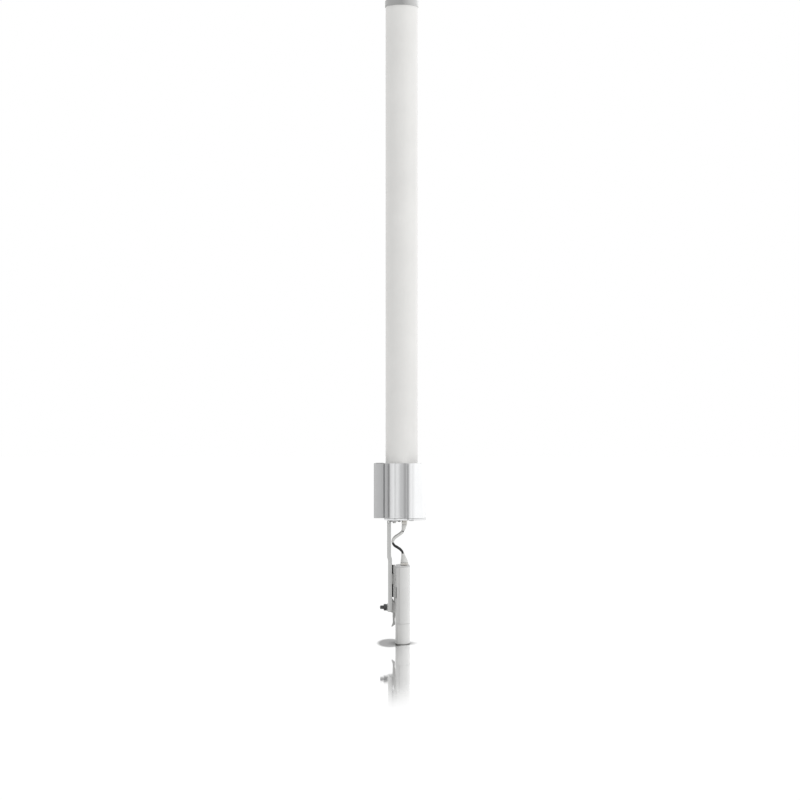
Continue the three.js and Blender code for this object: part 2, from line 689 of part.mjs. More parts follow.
// Boot profiles, radius, z.
const topBootProfile = [
  [BOOT_BORE_R, TOP_BOOT.tipZ], [3.2, TOP_BOOT.tipZ], [4.8, 239.5],
  [5.4, TOP_BOOT.wideZ], [BOOT_BORE_R, TOP_BOOT.wideZ], [BOOT_BORE_R, TOP_BOOT.tipZ],
];
const bottomBootProfile = [
  [BOOT_BORE_R, BOTTOM_BOOT.wideZ], [7.6, BOTTOM_BOOT.wideZ], [6.9, 170], [4.7, 176.5],
  [2.95, BOTTOM_BOOT.tipZ], [BOOT_BORE_R, BOTTOM_BOOT.tipZ], [BOOT_BORE_R, BOTTOM_BOOT.wideZ],
];

function knurledNut(radius, depth, ridges, z0, z1, at) {
  const outline = Array.from({ length: ridges * 2 }, (_, i) =>
    polar(...at, i % 2 ? radius - depth : radius, (i / (ridges * 2)) * 360),
  );
  return prismZ(outline, z0, z1, [circle(NUT_BORE_R, 18, at)]);
}

// A boot sheared along x with height, so that its tip leans back with the cable.
function boot(profile, segments, { wideZ, tipZ, leanBack }, at) {
  const slope = leanBack / (wideZ - tipZ);
  const shear = new THREE.Matrix4().set(
    1, 0, slope, -slope * wideZ,
    0, 1, 0, 0,
    0, 0, 1, 0,
    0, 0, 0, 1,
  );
  return solid(lathed(profile, segments, at).applyMatrix4(shear));
}

// The stretch of a line between two fractions of its length.
const stretch = (line, from, to) =>
  lineThrough(
    Array.from({ length: 11 }, (_, i) => line.getPointAt(from + ((to - from) * i) / 10).toArray()),
  );

for (const { side, at } of JACKS) {
  const add = (name, body, look) => piece(`jumper_${side}_${name}`, body, look, jumpers);
  const line = lineThrough(JUMPER_LINE.map(([x, z]) => [x, at[1], z]));
  add("top_nut", knurledNut(5.7, 0.5, 14, 244, 249.8, at), NICKEL);
  add("top_boot", boot(topBootProfile, 18, TOP_BOOT, at), GREY_RUBBER);
  add("cable", swept(line, CABLE_R, 8, 30), BLACK_RUBBER);
  // The bore is longer than the sleeve, so that both ends are open.
  const sleeve = swept(stretch(line, 0.152, 0.48), SLEEVE_R, 12, 16);
  const sleeveBore = swept(stretch(line, 0.137, 0.495), CABLE_R + 0.25, 12, 17);
  add("sleeve", cut(sleeve, sleeveBore), GREY_RUBBER);
  add("bottom_boot", boot(bottomBootProfile, 20, BOTTOM_BOOT, at), GREY_RUBBER);
  add("bottom_nut", knurledNut(8, 0.6, 18, 160.6, 165.9, at), NICKEL);
}

export default antenna;
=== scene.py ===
# An antenna: a round radome with a cap, standing in an extruded bracket. A channel hangs from the
# bracket's end plate and carries a radio box, and two jumper cables join radio and antenna.
# The radome's axis is Z, up. +X is the radio's front, -X its rear with the channel; left is -Y and
# right is +Y. Shapes are given in millimetres; the camera looks along +Y.
import json
import math

import bmesh
import bpy
import numpy as np
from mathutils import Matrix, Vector
from mathutils.geometry import tessellate_polygon

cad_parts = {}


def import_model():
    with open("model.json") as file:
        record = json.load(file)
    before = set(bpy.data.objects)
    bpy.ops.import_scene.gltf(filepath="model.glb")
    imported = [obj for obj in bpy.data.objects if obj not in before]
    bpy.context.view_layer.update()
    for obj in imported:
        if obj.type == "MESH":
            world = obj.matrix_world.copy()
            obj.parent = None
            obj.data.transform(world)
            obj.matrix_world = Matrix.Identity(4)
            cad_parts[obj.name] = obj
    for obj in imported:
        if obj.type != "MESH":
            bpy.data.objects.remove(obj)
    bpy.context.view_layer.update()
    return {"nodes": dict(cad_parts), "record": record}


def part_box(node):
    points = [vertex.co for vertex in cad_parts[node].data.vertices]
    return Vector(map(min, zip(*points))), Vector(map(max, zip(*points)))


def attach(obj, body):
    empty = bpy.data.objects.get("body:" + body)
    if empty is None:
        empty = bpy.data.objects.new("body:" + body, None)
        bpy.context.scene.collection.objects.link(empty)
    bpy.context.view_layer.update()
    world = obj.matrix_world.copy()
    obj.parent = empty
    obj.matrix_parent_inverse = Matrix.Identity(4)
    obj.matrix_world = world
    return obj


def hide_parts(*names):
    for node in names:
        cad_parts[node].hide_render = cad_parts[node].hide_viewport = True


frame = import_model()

MM = 0.001
SLOT = {part["node"]: part["material_slot"] for part in frame["record"]["subparts"]}
BODY = {node: body for body, nodes in frame["record"]["behaviour"]["bodies"].items() for node in nodes}


def low(node):
    """Lowest corner of a CAD node, in millimetres."""
    return [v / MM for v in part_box(node)[0]]


def high(node):
    return [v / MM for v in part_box(node)[1]]


def middle(node):
    return [(a + b) / 2 for a, b in zip(low(node), high(node))]


# ------------------------------------------------------------------ places several pieces share
SIDES = {"left": -1, "right": 1}
JACK_X = middle("jack_nut_left")[0]
JACK_Y = middle("jack_nut_right")[1]
PLATE_SCREWS = {f"end_plate_screw_{i}": middle(f"end_plate_screw_{i}")[:2] for i in range(1, 5)}
HANGER_X, HANGER_Y = -15.0, 12.0  # the two hanger screws, at +y and -y
VENT_X = 20
BOLT_Z = 73.5  # the mount bolt runs along X at y = 0
PIN_X, _, PIN_Z = middle("latch_pin")


# ------------------------------------------------------------------ mesh helpers (millimetres in, metres out)
def smooth(mesh, angle):
    """Smooth shading, with edges sharper than angle (degrees) kept sharp."""
    mesh.polygons.foreach_set("use_smooth", [True] * len(mesh.polygons))
    mesh.set_sharp_from_angle(angle=math.radians(angle))


def mesh_object(verts, faces, smooth_angle=35):
    mesh = bpy.data.meshes.new("part")
    mesh.from_pydata([(x * MM, y * MM, z * MM) for x, y, z in verts], [], faces)
    mesh.validate()
    ob = bpy.data.objects.new("part", mesh)
    bpy.context.scene.collection.objects.link(ob)
    return tidy(ob, smooth_angle)


def tidy(ob, smooth_angle=35):
    """Merge doubled corners, turn the faces outwards and shade."""
    bm = bmesh.new()
    bm.from_mesh(ob.data)
    bmesh.ops.remove_doubles(bm, verts=bm.verts, dist=2e-7)
    bmesh.ops.dissolve_degenerate(bm, edges=bm.edges, dist=1e-7)
    bmesh.ops.recalc_face_normals(bm, faces=bm.faces)
    if bm.calc_volume(signed=True) < 0:
        bmesh.ops.reverse_faces(bm, faces=bm.faces)
    bm.to_mesh(ob.data)
    bm.free()
    smooth(ob.data, smooth_angle)
    ob.data.update()
    return ob


def weld(ob, dist):
    """Corners closer than dist become one, which closes the slivers a bevel can leave."""
    bm = bmesh.new()
    bm.from_mesh(ob.data)
    bmesh.ops.remove_doubles(bm, verts=bm.verts, dist=dist * MM)
    bmesh.ops.dissolve_degenerate(bm, edges=bm.edges, dist=1e-6)
    bm.to_mesh(ob.data)
    bm.free()
    return tidy(ob)


def drop(ob):
    mesh = ob.data
    bpy.data.objects.remove(ob)
    bpy.data.meshes.remove(mesh)


def apply_modifiers(ob, smooth_angle=35):
    bpy.context.view_layer.update()
    depsgraph = bpy.context.evaluated_depsgraph_get()
    mesh = bpy.data.meshes.new_from_object(ob.evaluated_get(depsgraph))
    old = ob.data
    ob.modifiers.clear()
    ob.data = mesh
    bpy.data.meshes.remove(old)
    return tidy(ob, smooth_angle)


def boolean(ob, tool, how="DIFFERENCE", smooth_angle=35):
    """Cut ob with tool (or join or intersect them) and throw the tool away."""
    modifier = ob.modifiers.new("cut", "BOOLEAN")
    modifier.operation = how
    modifier.object = tool
    modifier.solver = "MANIFOLD"
    apply_modifiers(ob, smooth_angle)
    drop(tool)
    return ob


def bevel(ob, width, angle):
    """Round the edges sharper than angle (degrees)."""
    modifier = ob.modifiers.new("edge", "BEVEL")
    modifier.width = width * MM
    modifier.segments = 2
    modifier.limit_method = "ANGLE"
    modifier.angle_limit = math.radians(angle)
    modifier.use_clamp_overlap = True
    return apply_modifiers(ob)


def is_closed(ob):
    bm = bmesh.new()
    bm.from_mesh(ob.data)
    closed = all(e.is_manifold and e.is_contiguous for e in bm.edges)
    bm.free()
    return closed


def orient(verts, axis):
    """Verts are (outline, outline, height). Along X the outline is (y, z), along Y it is (x, z)."""
    if axis == "X":
        return [(height, a, b) for a, b, height in verts]
    if axis == "Y":
        return [(a, height, b) for a, b, height in verts]
    return verts


def join_rings(rings, verts, faces, closed=False):
    """Add rings of equal count, joined in turn. A closed run meets its start, an open one is capped."""
    rows = []
    for ring in rings:
        rows.append(list(range(len(verts), len(verts) + len(ring))))
        verts += ring
    pairs = list(zip(rows, rows[1:]))
    if closed:
        pairs.append((rows[-1], rows[0]))
    for a, b in pairs:
        for k in range(len(a)):
            j = (k + 1) % len(a)
            faces.append((a[k], a[j], b[j], b[k]))
    if not closed:
        faces.append(rows[0][::-1])
        faces.append(rows[-1])


def loft(rings, closed=False, smooth_angle=35):
    verts, faces = [], []
    join_rings(rings, verts, faces, closed)
    return mesh_object(verts, faces, smooth_angle)


def ccw(loop):
    p = np.array(loop, float)
    q = np.roll(p, -1, 0)
    area = 0.5 * float(np.sum(p[:, 0] * q[:, 1] - q[:, 0] * p[:, 1]))
    return list(loop) if area > 0 else list(loop)[::-1]


def inset(loop, depth):
    """A counter-clockwise loop pulled in by depth, corner for corner."""
    points = np.array(loop, float)
    edges = np.roll(points, -1, 0) - points
    edges /= np.maximum(np.linalg.norm(edges, axis=1), 1e-9)[:, None]
    normals = np.stack([-edges[:, 1], edges[:, 0]], 1)
    corner = normals + np.roll(normals, 1, 0)
    scale = 1 / np.maximum(np.einsum("ij,ij->i", corner, normals), 0.5)
    return [tuple(v) for v in points + corner * scale[:, None] * depth]


def drilled(outer, holes, levels, axis, smooth_angle):
    """The same body as prism gives, its holes cut by one solid of plugs that runs past both ends."""
    (z0, depth0), (z1, depth1) = levels[0], levels[-1]
    longer = [(z0 - 0.5, depth0), *levels, (z1 + 0.5, depth1)]
    made = []
    for loops, rows, grow in (([outer], levels, 1), (holes, longer, -1)):
        verts, faces = [], []
        for loop in loops:
            rings = [[(x, y, z) for x, y in inset(loop, depth * grow)] for z, depth in rows]
            join_rings(rings, verts, faces)
        made.append(mesh_object(orient(verts, axis), faces, smooth_angle))
    return boolean(made[0], made[1], smooth_angle=smooth_angle)


def prism(outer, levels, holes=(), axis="Z", smooth_angle=35):
    """An outline with holes raised through levels (height, inset). Holes open by the same inset."""
    loops = [ccw(loop) for loop in (outer, *holes)]
    verts, faces, rows = [], [], []
    for height, depth in levels:
        row = []
        for i, loop in enumerate(loops):
            row.append(list(range(len(verts), len(verts) + len(loop))))
            verts += [(x, y, height) for x, y in inset(loop, -depth if i else depth)]
        rows.append(row)
    for lower, upper in zip(rows, rows[1:]):
        for i, (a, b) in enumerate(zip(lower, upper)):
            for k in range(len(a)):
                j = (k + 1) % len(a)
                face = (a[k], a[j], b[j], b[k])
                faces.append(face[::-1] if i else face)
    for row, up in ((rows[0], False), (rows[-1], True)):
        flat = [[Vector((verts[v][0], verts[v][1], 0)) for v in ring] for ring in row]
        index = [v for ring in row for v in ring]
        for triangle in tessellate_polygon(flat):
            face = [index[v] for v in triangle]
            p, q, r = (verts[v] for v in face)
            turn = (q[0] - p[0]) * (r[1] - p[1]) - (q[1] - p[1]) * (r[0] - p[0])
            faces.append(tuple(face if (turn > 0) == up else face[::-1]))
    ob = mesh_object(orient(verts, axis), faces, smooth_angle)
    if holes and not is_closed(ob):
        drop(ob)
        ob = drilled(loops[0], loops[1:], levels, axis, smooth_angle)
    return ob


def bar(outline, start, end, axis="Z"):
    """A plain prism between two heights, given in either order."""
    return prism(outline, [(z, 0) for z in sorted((start, end))], axis=axis)


def punch(ob, outline, start, end, axis="Z"):
    """Cut a straight hole of this outline."""
    return boolean(ob, bar(outline, start, end, axis))


def block(x0, x1, y0, y1, z0, z1):
    verts = [(x, y, z) for x in (x0, x1) for y in (y0, y1) for z in (z0, z1)]
    faces = [(0, 1, 3, 2), (4, 6, 7, 5), (0, 4, 5, 1), (2, 3, 7, 6), (0, 2, 6, 4), (1, 5, 7, 3)]
    return mesh_object(verts, faces)


def soft_levels(z0, z1, radius, steps=3):
    """Levels with both end edges rounded."""
    turns = [i / steps * math.pi / 2 for i in range(steps + 1)]
    bottom = [(z0 + radius * (1 - math.sin(t)), radius * (1 - math.cos(t))) for t in turns]
    top = [(z0 + z1 - z, depth) for z, depth in bottom]
    return sorted(bottom) + sorted(top)


def rounded(points, radius=None, steps=4):
    """Open polyline with its inner corners rounded, by radius or by each point's third value."""
    flat = [np.array(p[:2], float) for p in points]
    out = [tuple(flat[0])]
    for i in range(1, len(points) - 1):
        corner = flat[i]
        size = points[i][2] if radius is None else radius
        back, ahead = flat[i - 1] - corner, flat[i + 1] - corner
        back_len, ahead_len = np.linalg.norm(back), np.linalg.norm(ahead)
        if size <= 0 or back_len < 1e-6 or ahead_len < 1e-6:
            out.append(tuple(corner))
            continue
        reach = min(size, back_len * 0.45, ahead_len * 0.45)
        first = corner + back / back_len * reach
        last = corner + ahead / ahead_len * reach
        for k in range(steps + 1):
            t = k / steps
            out.append(tuple((1 - t) ** 2 * first + 2 * t * (1 - t) * corner + t * t * last))
    out.append(tuple(flat[-1]))
    return out


def clean(loop, tolerance=0.03):
    """A closed loop without points that repeat the one before."""
    out = []
    for p in loop:
        if not out or math.dist(p, out[-1]) > tolerance:
            out.append(p)
    if math.dist(out[0], out[-1]) < tolerance:
        out.pop()
    return out


def soft_loop(loop, radius):
    """A closed loop with its corners rounded."""
    return clean(rounded([loop[-1], *loop, loop[0]], radius)[1:-1])


def lathe(profile, seg=64, centre=(0, 0), axis="Z", closed=False, ripple=None, smooth_angle=35):
    """Profile (radius, height) turned about an axis. It ends on the axis, or closes on itself."""
    verts, faces, rows = [], [], []
    for radius, height in profile:
        count = 1 if radius < 1e-6 else seg
        rows.append(list(range(len(verts), len(verts) + count)))
        if count == 1:
            verts.append((centre[0], centre[1], height))
            continue
        for k in range(seg):
            a = 2 * math.pi * k / seg
            r = ripple(radius, height, a) if ripple else radius
            verts.append((r * math.cos(a) + centre[0], r * math.sin(a) + centre[1], height))
    pairs = list(zip(rows, rows[1:]))
    if closed:
        pairs.append((rows[-1], rows[0]))
    for a, b in pairs:
        for k in range(seg):
            j = (k + 1) % seg
            if len(a) == 1:
                faces.append((a[0], b[j], b[k]))
            elif len(b) == 1:
                faces.append((a[k], a[j], b[0]))
            else:
                faces.append((a[k], a[j], b[j], b[k]))
    return mesh_object(orient(verts, axis), faces, smooth_angle)


def catmull(points, per):
    """Centripetal Catmull-Rom through the points, per steps to a span."""
    p = [np.array(q, float) for q in points]
    p = [2 * p[0] - p[1]] + p + [2 * p[-1] - p[-2]]

    def between(a, b, start, end, t):
        return (end - t) / (end - start) * a + (t - start) / (end - start) * b

    out = []
    for i in range(1, len(p) - 2):
        four = p[i - 1 : i + 3]
        knots = [0.0]
        for a, b in zip(four, four[1:]):
            knots.append(knots[-1] + max(np.linalg.norm(b - a), 1e-6) ** 0.5)
        for k in range(per):
            t = knots[1] + (knots[2] - knots[1]) * k / per
            threes = [between(four[n], four[n + 1], knots[n], knots[n + 1], t) for n in range(3)]
            twos = [between(threes[n], threes[n + 1], knots[n], knots[n + 2], t) for n in range(2)]
            out.append(between(*twos, knots[1], knots[2], t))
    out.append(p[-2])
    return out


def sweep(points, radius, seg=32, inner=None):
    """A round section along points. radius may be a function of the share of length.
    inner, the bore's radius, makes it a sleeve."""
    length = [0.0]
    for a, b in zip(points, points[1:]):
        length.append(length[-1] + float(np.linalg.norm(b - a)))
    side = np.array([0.0, 1.0, 0.0])

    def ring(i, r):
        tangent = points[min(i + 1, len(points) - 1)] - points[max(i - 1, 0)]
        tangent = tangent / np.linalg.norm(tangent)
        across = side - tangent * float(side @ tangent)
        across /= np.linalg.norm(across)
        other = np.cross(tangent, across)
        turns = [2 * math.pi * k / seg for k in range(seg)]
        return [
            tuple(points[i] + r * (math.cos(a) * across + math.sin(a) * other)) for a in turns
        ]

    rings = []
    for i in range(len(points)):
        rings.append(ring(i, radius(length[i] / length[-1]) if callable(radius) else radius))
    if inner:
        rings += [ring(i, inner) for i in range(len(points) - 1, -1, -1)]
    return loft(rings, closed=bool(inner), smooth_angle=50)


def circle(radius, count, cx=0.0, cy=0.0):
    turns = [2 * math.pi * k / count for k in range(count)]
    return [(cx + radius * math.cos(a), cy + radius * math.sin(a)) for a in turns]


def round_rect(x0, x1, y0, y1, r, steps=6):
    out = []
    corners = ((x1 - r, y1 - r, 0), (x0 + r, y1 - r, 90), (x0 + r, y0 + r, 180), (x1 - r, y0 + r, 270))
    for cx, cy, start in corners:
        for i in range(steps + 1):
            a = math.radians(start + 90 * i / steps)
            out.append((cx + r * math.cos(a), cy + r * math.sin(a)))
    return out


def place(ob, node, material):
    """ob takes the place of a CAD node, on its body and in its slot."""
    ob.name = ob.data.name = node + "_fine"
    ob.data.materials.clear()
    ob.data.materials.append(MATERIALS[material])
    normals = ob.modifiers.new("normals", "WEIGHTED_NORMAL")
    normals.mode = "FACE_AREA"
    normals.weight = 100
    normals.keep_sharp = True
    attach(ob, BODY[node])
    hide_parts(node)


# ------------------------------------------------------------------ shader helpers
class Tree:
    """The node tree of a material or world, emptied and ready to build."""

    def __init__(self, owner):
        owner.use_nodes = True
        self.tree = owner.node_tree
        self.tree.nodes.clear()

    def node(self, kind, inputs=None, **settings):
        made = self.tree.nodes.new("ShaderNode" + kind)
        for key, value in settings.items():
            setattr(made, key, value)
        self.feed(made, inputs or {})
        return made

    def feed(self, node, inputs):
        """Link a socket or set a value on each named or numbered input."""
        for key, value in inputs.items():
            if isinstance(value, bpy.types.NodeSocket):
                self.tree.links.new(value, node.inputs[key])
            else:
                node.inputs[key].default_value = value

    def coords(self):
        return self.node("TexCoord").outputs["Object"]

    def noise(self, scale, detail=4.0, rough=0.6, stretch=(1, 1, 1), offset=(0, 0, 0)):
        """A noise whose cells are 1/scale metres across, in the part's own space."""
        mapped = {"Vector": self.coords(), "Scale": stretch, "Location": offset}
        vector = self.node("Mapping", mapped).outputs["Vector"]
        values = {"Scale": scale, "Detail": detail, "Roughness": rough, "Vector": vector}
        return self.node("TexNoise", values).outputs["Fac"]

    def remap(self, value, source, target, **settings):
        """Value carried from the source range to the target range."""
        ranges = {"From Min": source[0], "From Max": source[1], "To Min": target[0], "To Max": target[1]}
        return self.node("MapRange", {"Value": value, **ranges}, **settings).outputs["Result"]

    def mix(self, factor, a, b, mode="MIX"):
        a, b = ((*v, 1) if isinstance(v, tuple) else v for v in (a, b))
        values = {0: factor, 6: a, 7: b}
        return self.node("Mix", values, data_type="RGBA", blend_type=mode).outputs[2]

    def maths(self, operation, *values):
        return self.node("Math", dict(enumerate(values)), operation=operation).outputs[0]

    def vector(self, operation, *values):
        return self.node("VectorMath", dict(enumerate(values)), operation=operation)

    def edge_mask(self, radius, strength):
        """strength on edges, 0 on open faces. radius is in millimetres."""
        soft = self.node("Bevel", {"Radius": radius * MM}, samples=4).outputs["Normal"]
        hard = self.node("NewGeometry").outputs["Normal"]
        dot = self.vector("DOT_PRODUCT", soft, hard).outputs["Value"]
        return self.maths("MULTIPLY", self.remap(dot, (0.99, 0.80), (0.0, 1.0)), strength)

    def bump(self, bsdf, *layers):
        """Layers (height, strength, distance in mm); each builds on the one before."""
        last = None
        for height, strength, distance in layers:
            values = {"Strength": strength, "Distance": distance * MM, "Height": height}
            if last is not None:
                values["Normal"] = last
            last = self.node("Bump", values).outputs["Normal"]
        self.feed(bsdf, {"Normal": last})

    def painted_light_and_shade_along_x(self, colour, light_and_shade_tones):
        """Painted light and shade: faces that look sideways are darkened or lightened along X where the light
        falls on the form; (x in mm, share) pairs.
        Top and bottom faces keep their colour."""
        x = self.node("SeparateXYZ", {0: self.coords()}).outputs["X"]
        start, end = light_and_shade_tones[0][0], light_and_shade_tones[-1][0]
        ramp = self.node("ValToRGB", {0: self.remap(x, (start * MM, end * MM), (0, 1))})
        stops = ramp.color_ramp.elements
        while len(stops) < len(light_and_shade_tones):
            stops.new(0.5)
        for stop, (x, _) in zip(stops, light_and_shade_tones):
            stop.position = (x - start) / (end - start)
        peak = max(1.0, max(share for _, share in light_and_shade_tones))
        for stop, (_, share) in zip(stops, light_and_shade_tones):
            stop.color = (share / peak, share / peak, share / peak, 1)
        normal = self.node("NewGeometry").outputs["Normal"]
        up = self.maths("ABSOLUTE", self.node("SeparateXYZ", {0: normal}).outputs["Z"])
        brightened = self.mix(1.0, colour, (peak, peak, peak), "MULTIPLY")
        full = self.mix(1.0, brightened, ramp.outputs[0], "MULTIPLY")
        return self.mix(self.remap(up, (0.5, 0.8), (1.0, 0.0)), colour, full)


def new_material(name):
    made = bpy.data.materials.new(name)
    tree = Tree(made)
    bsdf = tree.node("BsdfPrincipled")
    tree.node("OutputMaterial", {"Surface": bsdf.outputs["BSDF"]})
    return made, tree, bsdf


def shade(colour, factor, lift=0):
    return tuple(min(1, c * factor + lift) for c in colour)


# ------------------------------------------------------------------ kinds of material
def plastic(name, colour, rough, grain, grain_strength=0.35, cloud=0.02, edge=0.5,
            coat=0.0, specular=0.5, streak=False, light_and_shade_tones=None):
    """Moulded plastic: fine grain, slow colour drift (cloud), specks, paler rubbed edges."""
    made, tree, bsdf = new_material(name)
    big = tree.noise(scale=14, detail=5)
    fine = tree.noise(scale=grain, detail=3, rough=0.55)
    drift = tree.remap(big, (0.3, 0.7), (0, 1))
    col = tree.mix(drift, shade(colour, 1 - cloud * 2), shade(colour, 1 + cloud))
    if streak:
        lines = tree.noise(scale=60, detail=6, rough=0.7, stretch=(1, 1, 0.025))
        col = tree.mix(tree.remap(lines, (0.5, 0.85), (0, 0.10)), col, shade(colour, 0.80))
    speck = tree.noise(scale=420, detail=2, rough=0.5, offset=(3, 1, 7))
    col = tree.mix(tree.remap(speck, (0.70, 0.82), (0, 0.22)), col, shade(colour, 0.72))
    if edge:
        col = tree.mix(tree.edge_mask(0.5, edge), col, shade(colour, 1.12, lift=0.02))
    # painted light and shade: sideways faces darkened or lightened along X
    if light_and_shade_tones:
        col = tree.painted_light_and_shade_along_x(col, light_and_shade_tones)
    roughness = tree.maths(
        "ADD",
        tree.remap(big, (0.25, 0.75), (rough - 0.05, rough + 0.06)),
        tree.remap(fine, (0.3, 0.7), (-0.03, 0.03)),
    )
    tree.feed(bsdf, {
        "Base Color": col, "Roughness": roughness, "Specular IOR Level": specular,
        "Coat Weight": coat, "Coat Roughness": 0.12,
    })
    layers = [(fine, grain_strength, 0.06)]
    if streak:
        drawn = tree.noise(scale=300, detail=3, rough=0.5, stretch=(1, 1, 0.03))
        layers.append((drawn, 0.10, 0.08))
    tree.bump(bsdf, *layers)
    return made


def rubber(name, colour, rough):
    """Cloudy rubber with grey dust and paler edges."""
    made, tree, bsdf = new_material(name)
    big = tree.noise(scale=60)
    fine = tree.noise(scale=1600, detail=3)
    dust = tree.noise(scale=220, detail=6, rough=0.75, offset=(5, 2, 9))
    cloud = tree.remap(big, (0.3, 0.7), (0, 1))
    col = tree.mix(cloud, shade(colour, 0.86), shade(colour, 1.08))
    col = tree.mix(tree.remap(dust, (0.55, 0.8), (0, 0.16)), col, (0.42, 0.41, 0.39))
    col = tree.mix(tree.edge_mask(0.3, 0.3), col, shade(colour, 1.25, lift=0.03))
    roughness = tree.remap(dust, (0.3, 0.8), (rough - 0.08, rough + 0.12))
    tree.feed(bsdf, {"Base Color": col, "Roughness": roughness, "Specular IOR Level": 0.35})
    tree.bump(bsdf, (fine, 0.35, 0.05), (big, 0.12, 0.15))
    return made


def metal(name, colour, rough, tarnish, lines=None, line_strength=0.10, edge=0.5,
          metallic=1.0, blotch=None, hollow_shade=0.0, light_and_shade_tones=None):
    """Worked metal: draw lines along an axis (or none), cloudy finish, brighter edges, scratches.
    blotch is the colour of its stains, hollow_shade how far painted shade darkens the hollows."""
    made, tree, bsdf = new_material(name)
    stretch = {"Z": (1, 1, 0.012), "Y": (1, 0.012, 1), None: (1, 1, 1)}[lines]
    drawn = tree.noise(scale=1500, rough=0.65, stretch=stretch)
    wide = tree.noise(scale=260, stretch=stretch, offset=(2, 4, 1))
    cloud = tree.noise(scale=22, detail=5, rough=0.65, offset=(7, 3, 2))
    scratch = tree.noise(scale=700, detail=2, rough=0.5, stretch=(0.05, 1, 1), offset=(1, 8, 3))
    col = tree.mix(tree.remap(cloud, (0.3, 0.72), (0, 1)), shade(colour, 1 - tarnish), colour)
    col = tree.mix(tree.remap(wide, (0.35, 0.7), (0, 0.35)), col, shade(colour, 0.86))
    if blotch:
        stain = tree.noise(scale=130, detail=6, rough=0.75, offset=(9, 9, 4))
        col = tree.mix(tree.remap(stain, (0.52, 0.72), (0, 0.6)), col, blotch)
    col = tree.mix(tree.edge_mask(0.35, edge), col, shade(colour, 1.15, lift=0.05))
    # painted shade: ambient occlusion darkens the colour in hollows and flutes
    if hollow_shade:
        hollow = tree.node("AmbientOcclusion", {"Distance": 0.016}, samples=6, only_local=True)
        painted_shade_share = tree.remap(hollow.outputs["AO"], (0.55, 0.97), (hollow_shade, 0.0))
        col = tree.mix(painted_shade_share, col, shade(colour, 0.16))
    # painted light and shade: sideways faces darkened or lightened along X
    if light_and_shade_tones:
        col = tree.painted_light_and_shade_along_x(col, light_and_shade_tones)
    roughness = tree.maths(
        "ADD",
        tree.remap(cloud, (0.3, 0.7), (rough - 0.04, rough + 0.07)),
        tree.remap(drawn, (0.3, 0.7), (-0.05, 0.06)),
    )
    roughness = tree.maths("ADD", roughness, tree.remap(scratch, (0.66, 0.74), (0, 0.12)))
    tree.feed(bsdf, {"Base Color": col, "Metallic": metallic, "Roughness": roughness})
    tree.bump(bsdf, (drawn, line_strength, 0.05), (wide, line_strength * 0.5, 0.07))
    return made


def board(name, colour):
    """Solder mask over tracks: squares of track and tinned dots."""
    made, tree, bsdf = new_material(name)
    coords = tree.coords()
    turned = tree.node("Mapping", {"Rotation": (0, math.radians(90), 0), "Vector": coords})
    brick = tree.node("TexBrick", {
        "Vector": turned.outputs["Vector"], "Scale": 45, "Mortar Size": 0.03,
        "Color1": (*colour, 1), "Color2": (*shade(colour, 0.8), 1),
        "Mortar": (*shade(colour, 2.2, lift=0.02), 1),
    })
    cells = tree.node("TexVoronoi", {"Scale": 160, "Vector": coords})
    dots = tree.remap(cells.outputs["Distance"], (0.10, 0.16), (1, 0))
    tree.feed(bsdf, {
        "Base Color": tree.mix(dots, brick.outputs["Color"], (0.62, 0.60, 0.55)),
        "Metallic": tree.maths("MULTIPLY", dots, 0.9),
        "Roughness": tree.remap(tree.noise(scale=500), (0.3, 0.7), (0.28, 0.42)),
    })
    tree.bump(bsdf, (brick.outputs["Fac"], 0.2, 0.04), (dots, 0.4, 0.1))
    return made


def foam(name, colour):
    made, tree, bsdf = new_material(name)
    voronoi = tree.node("TexVoronoi", {"Scale": 700, "Vector": tree.coords()})
    cell = voronoi.outputs["Distance"]
    col = tree.mix(tree.remap(cell, (0, 0.7), (0, 1)), shade(colour, 0.75), colour)
    tree.feed(bsdf, {"Base Color": col, "Roughness": 0.95})
    tree.bump(bsdf, (cell, 0.6, 0.4))
    return made


def clear(name, colour):
    """Slightly hazy clear plastic."""
    made, tree, bsdf = new_material(name)
    haze = tree.noise(scale=400)
    tree.feed(bsdf, {
        "Base Color": tree.mix(tree.remap(haze, (0.3, 0.7), (0, 1)), colour, shade(colour, 0.9)),
        "Transmission Weight": 0.8,
        "Roughness": tree.remap(haze, (0.3, 0.7), (0.06, 0.2)),
    })
    tree.bump(bsdf, (haze, 0.1, 0.05))
    return made


# painted light and shade by form, (x in mm, share of the colour): darker in a flute, lighter on a lobe, as
# the light falls on it
BRACKET_PAINTED_LIGHT_AND_SHADE = [(-57, 0.65), (-31, 0.5), (-15, 0.95), (7, 0.45), (20, 1.05), (50, 1.0)]
RADIO_PAINTED_LIGHT_AND_SHADE = [(-13, 0.8), (17, 1.0)]
CAP_PAINTED_LIGHT_AND_SHADE = [(-34, 0.9), (0, 0.7), (34, 1.3)]

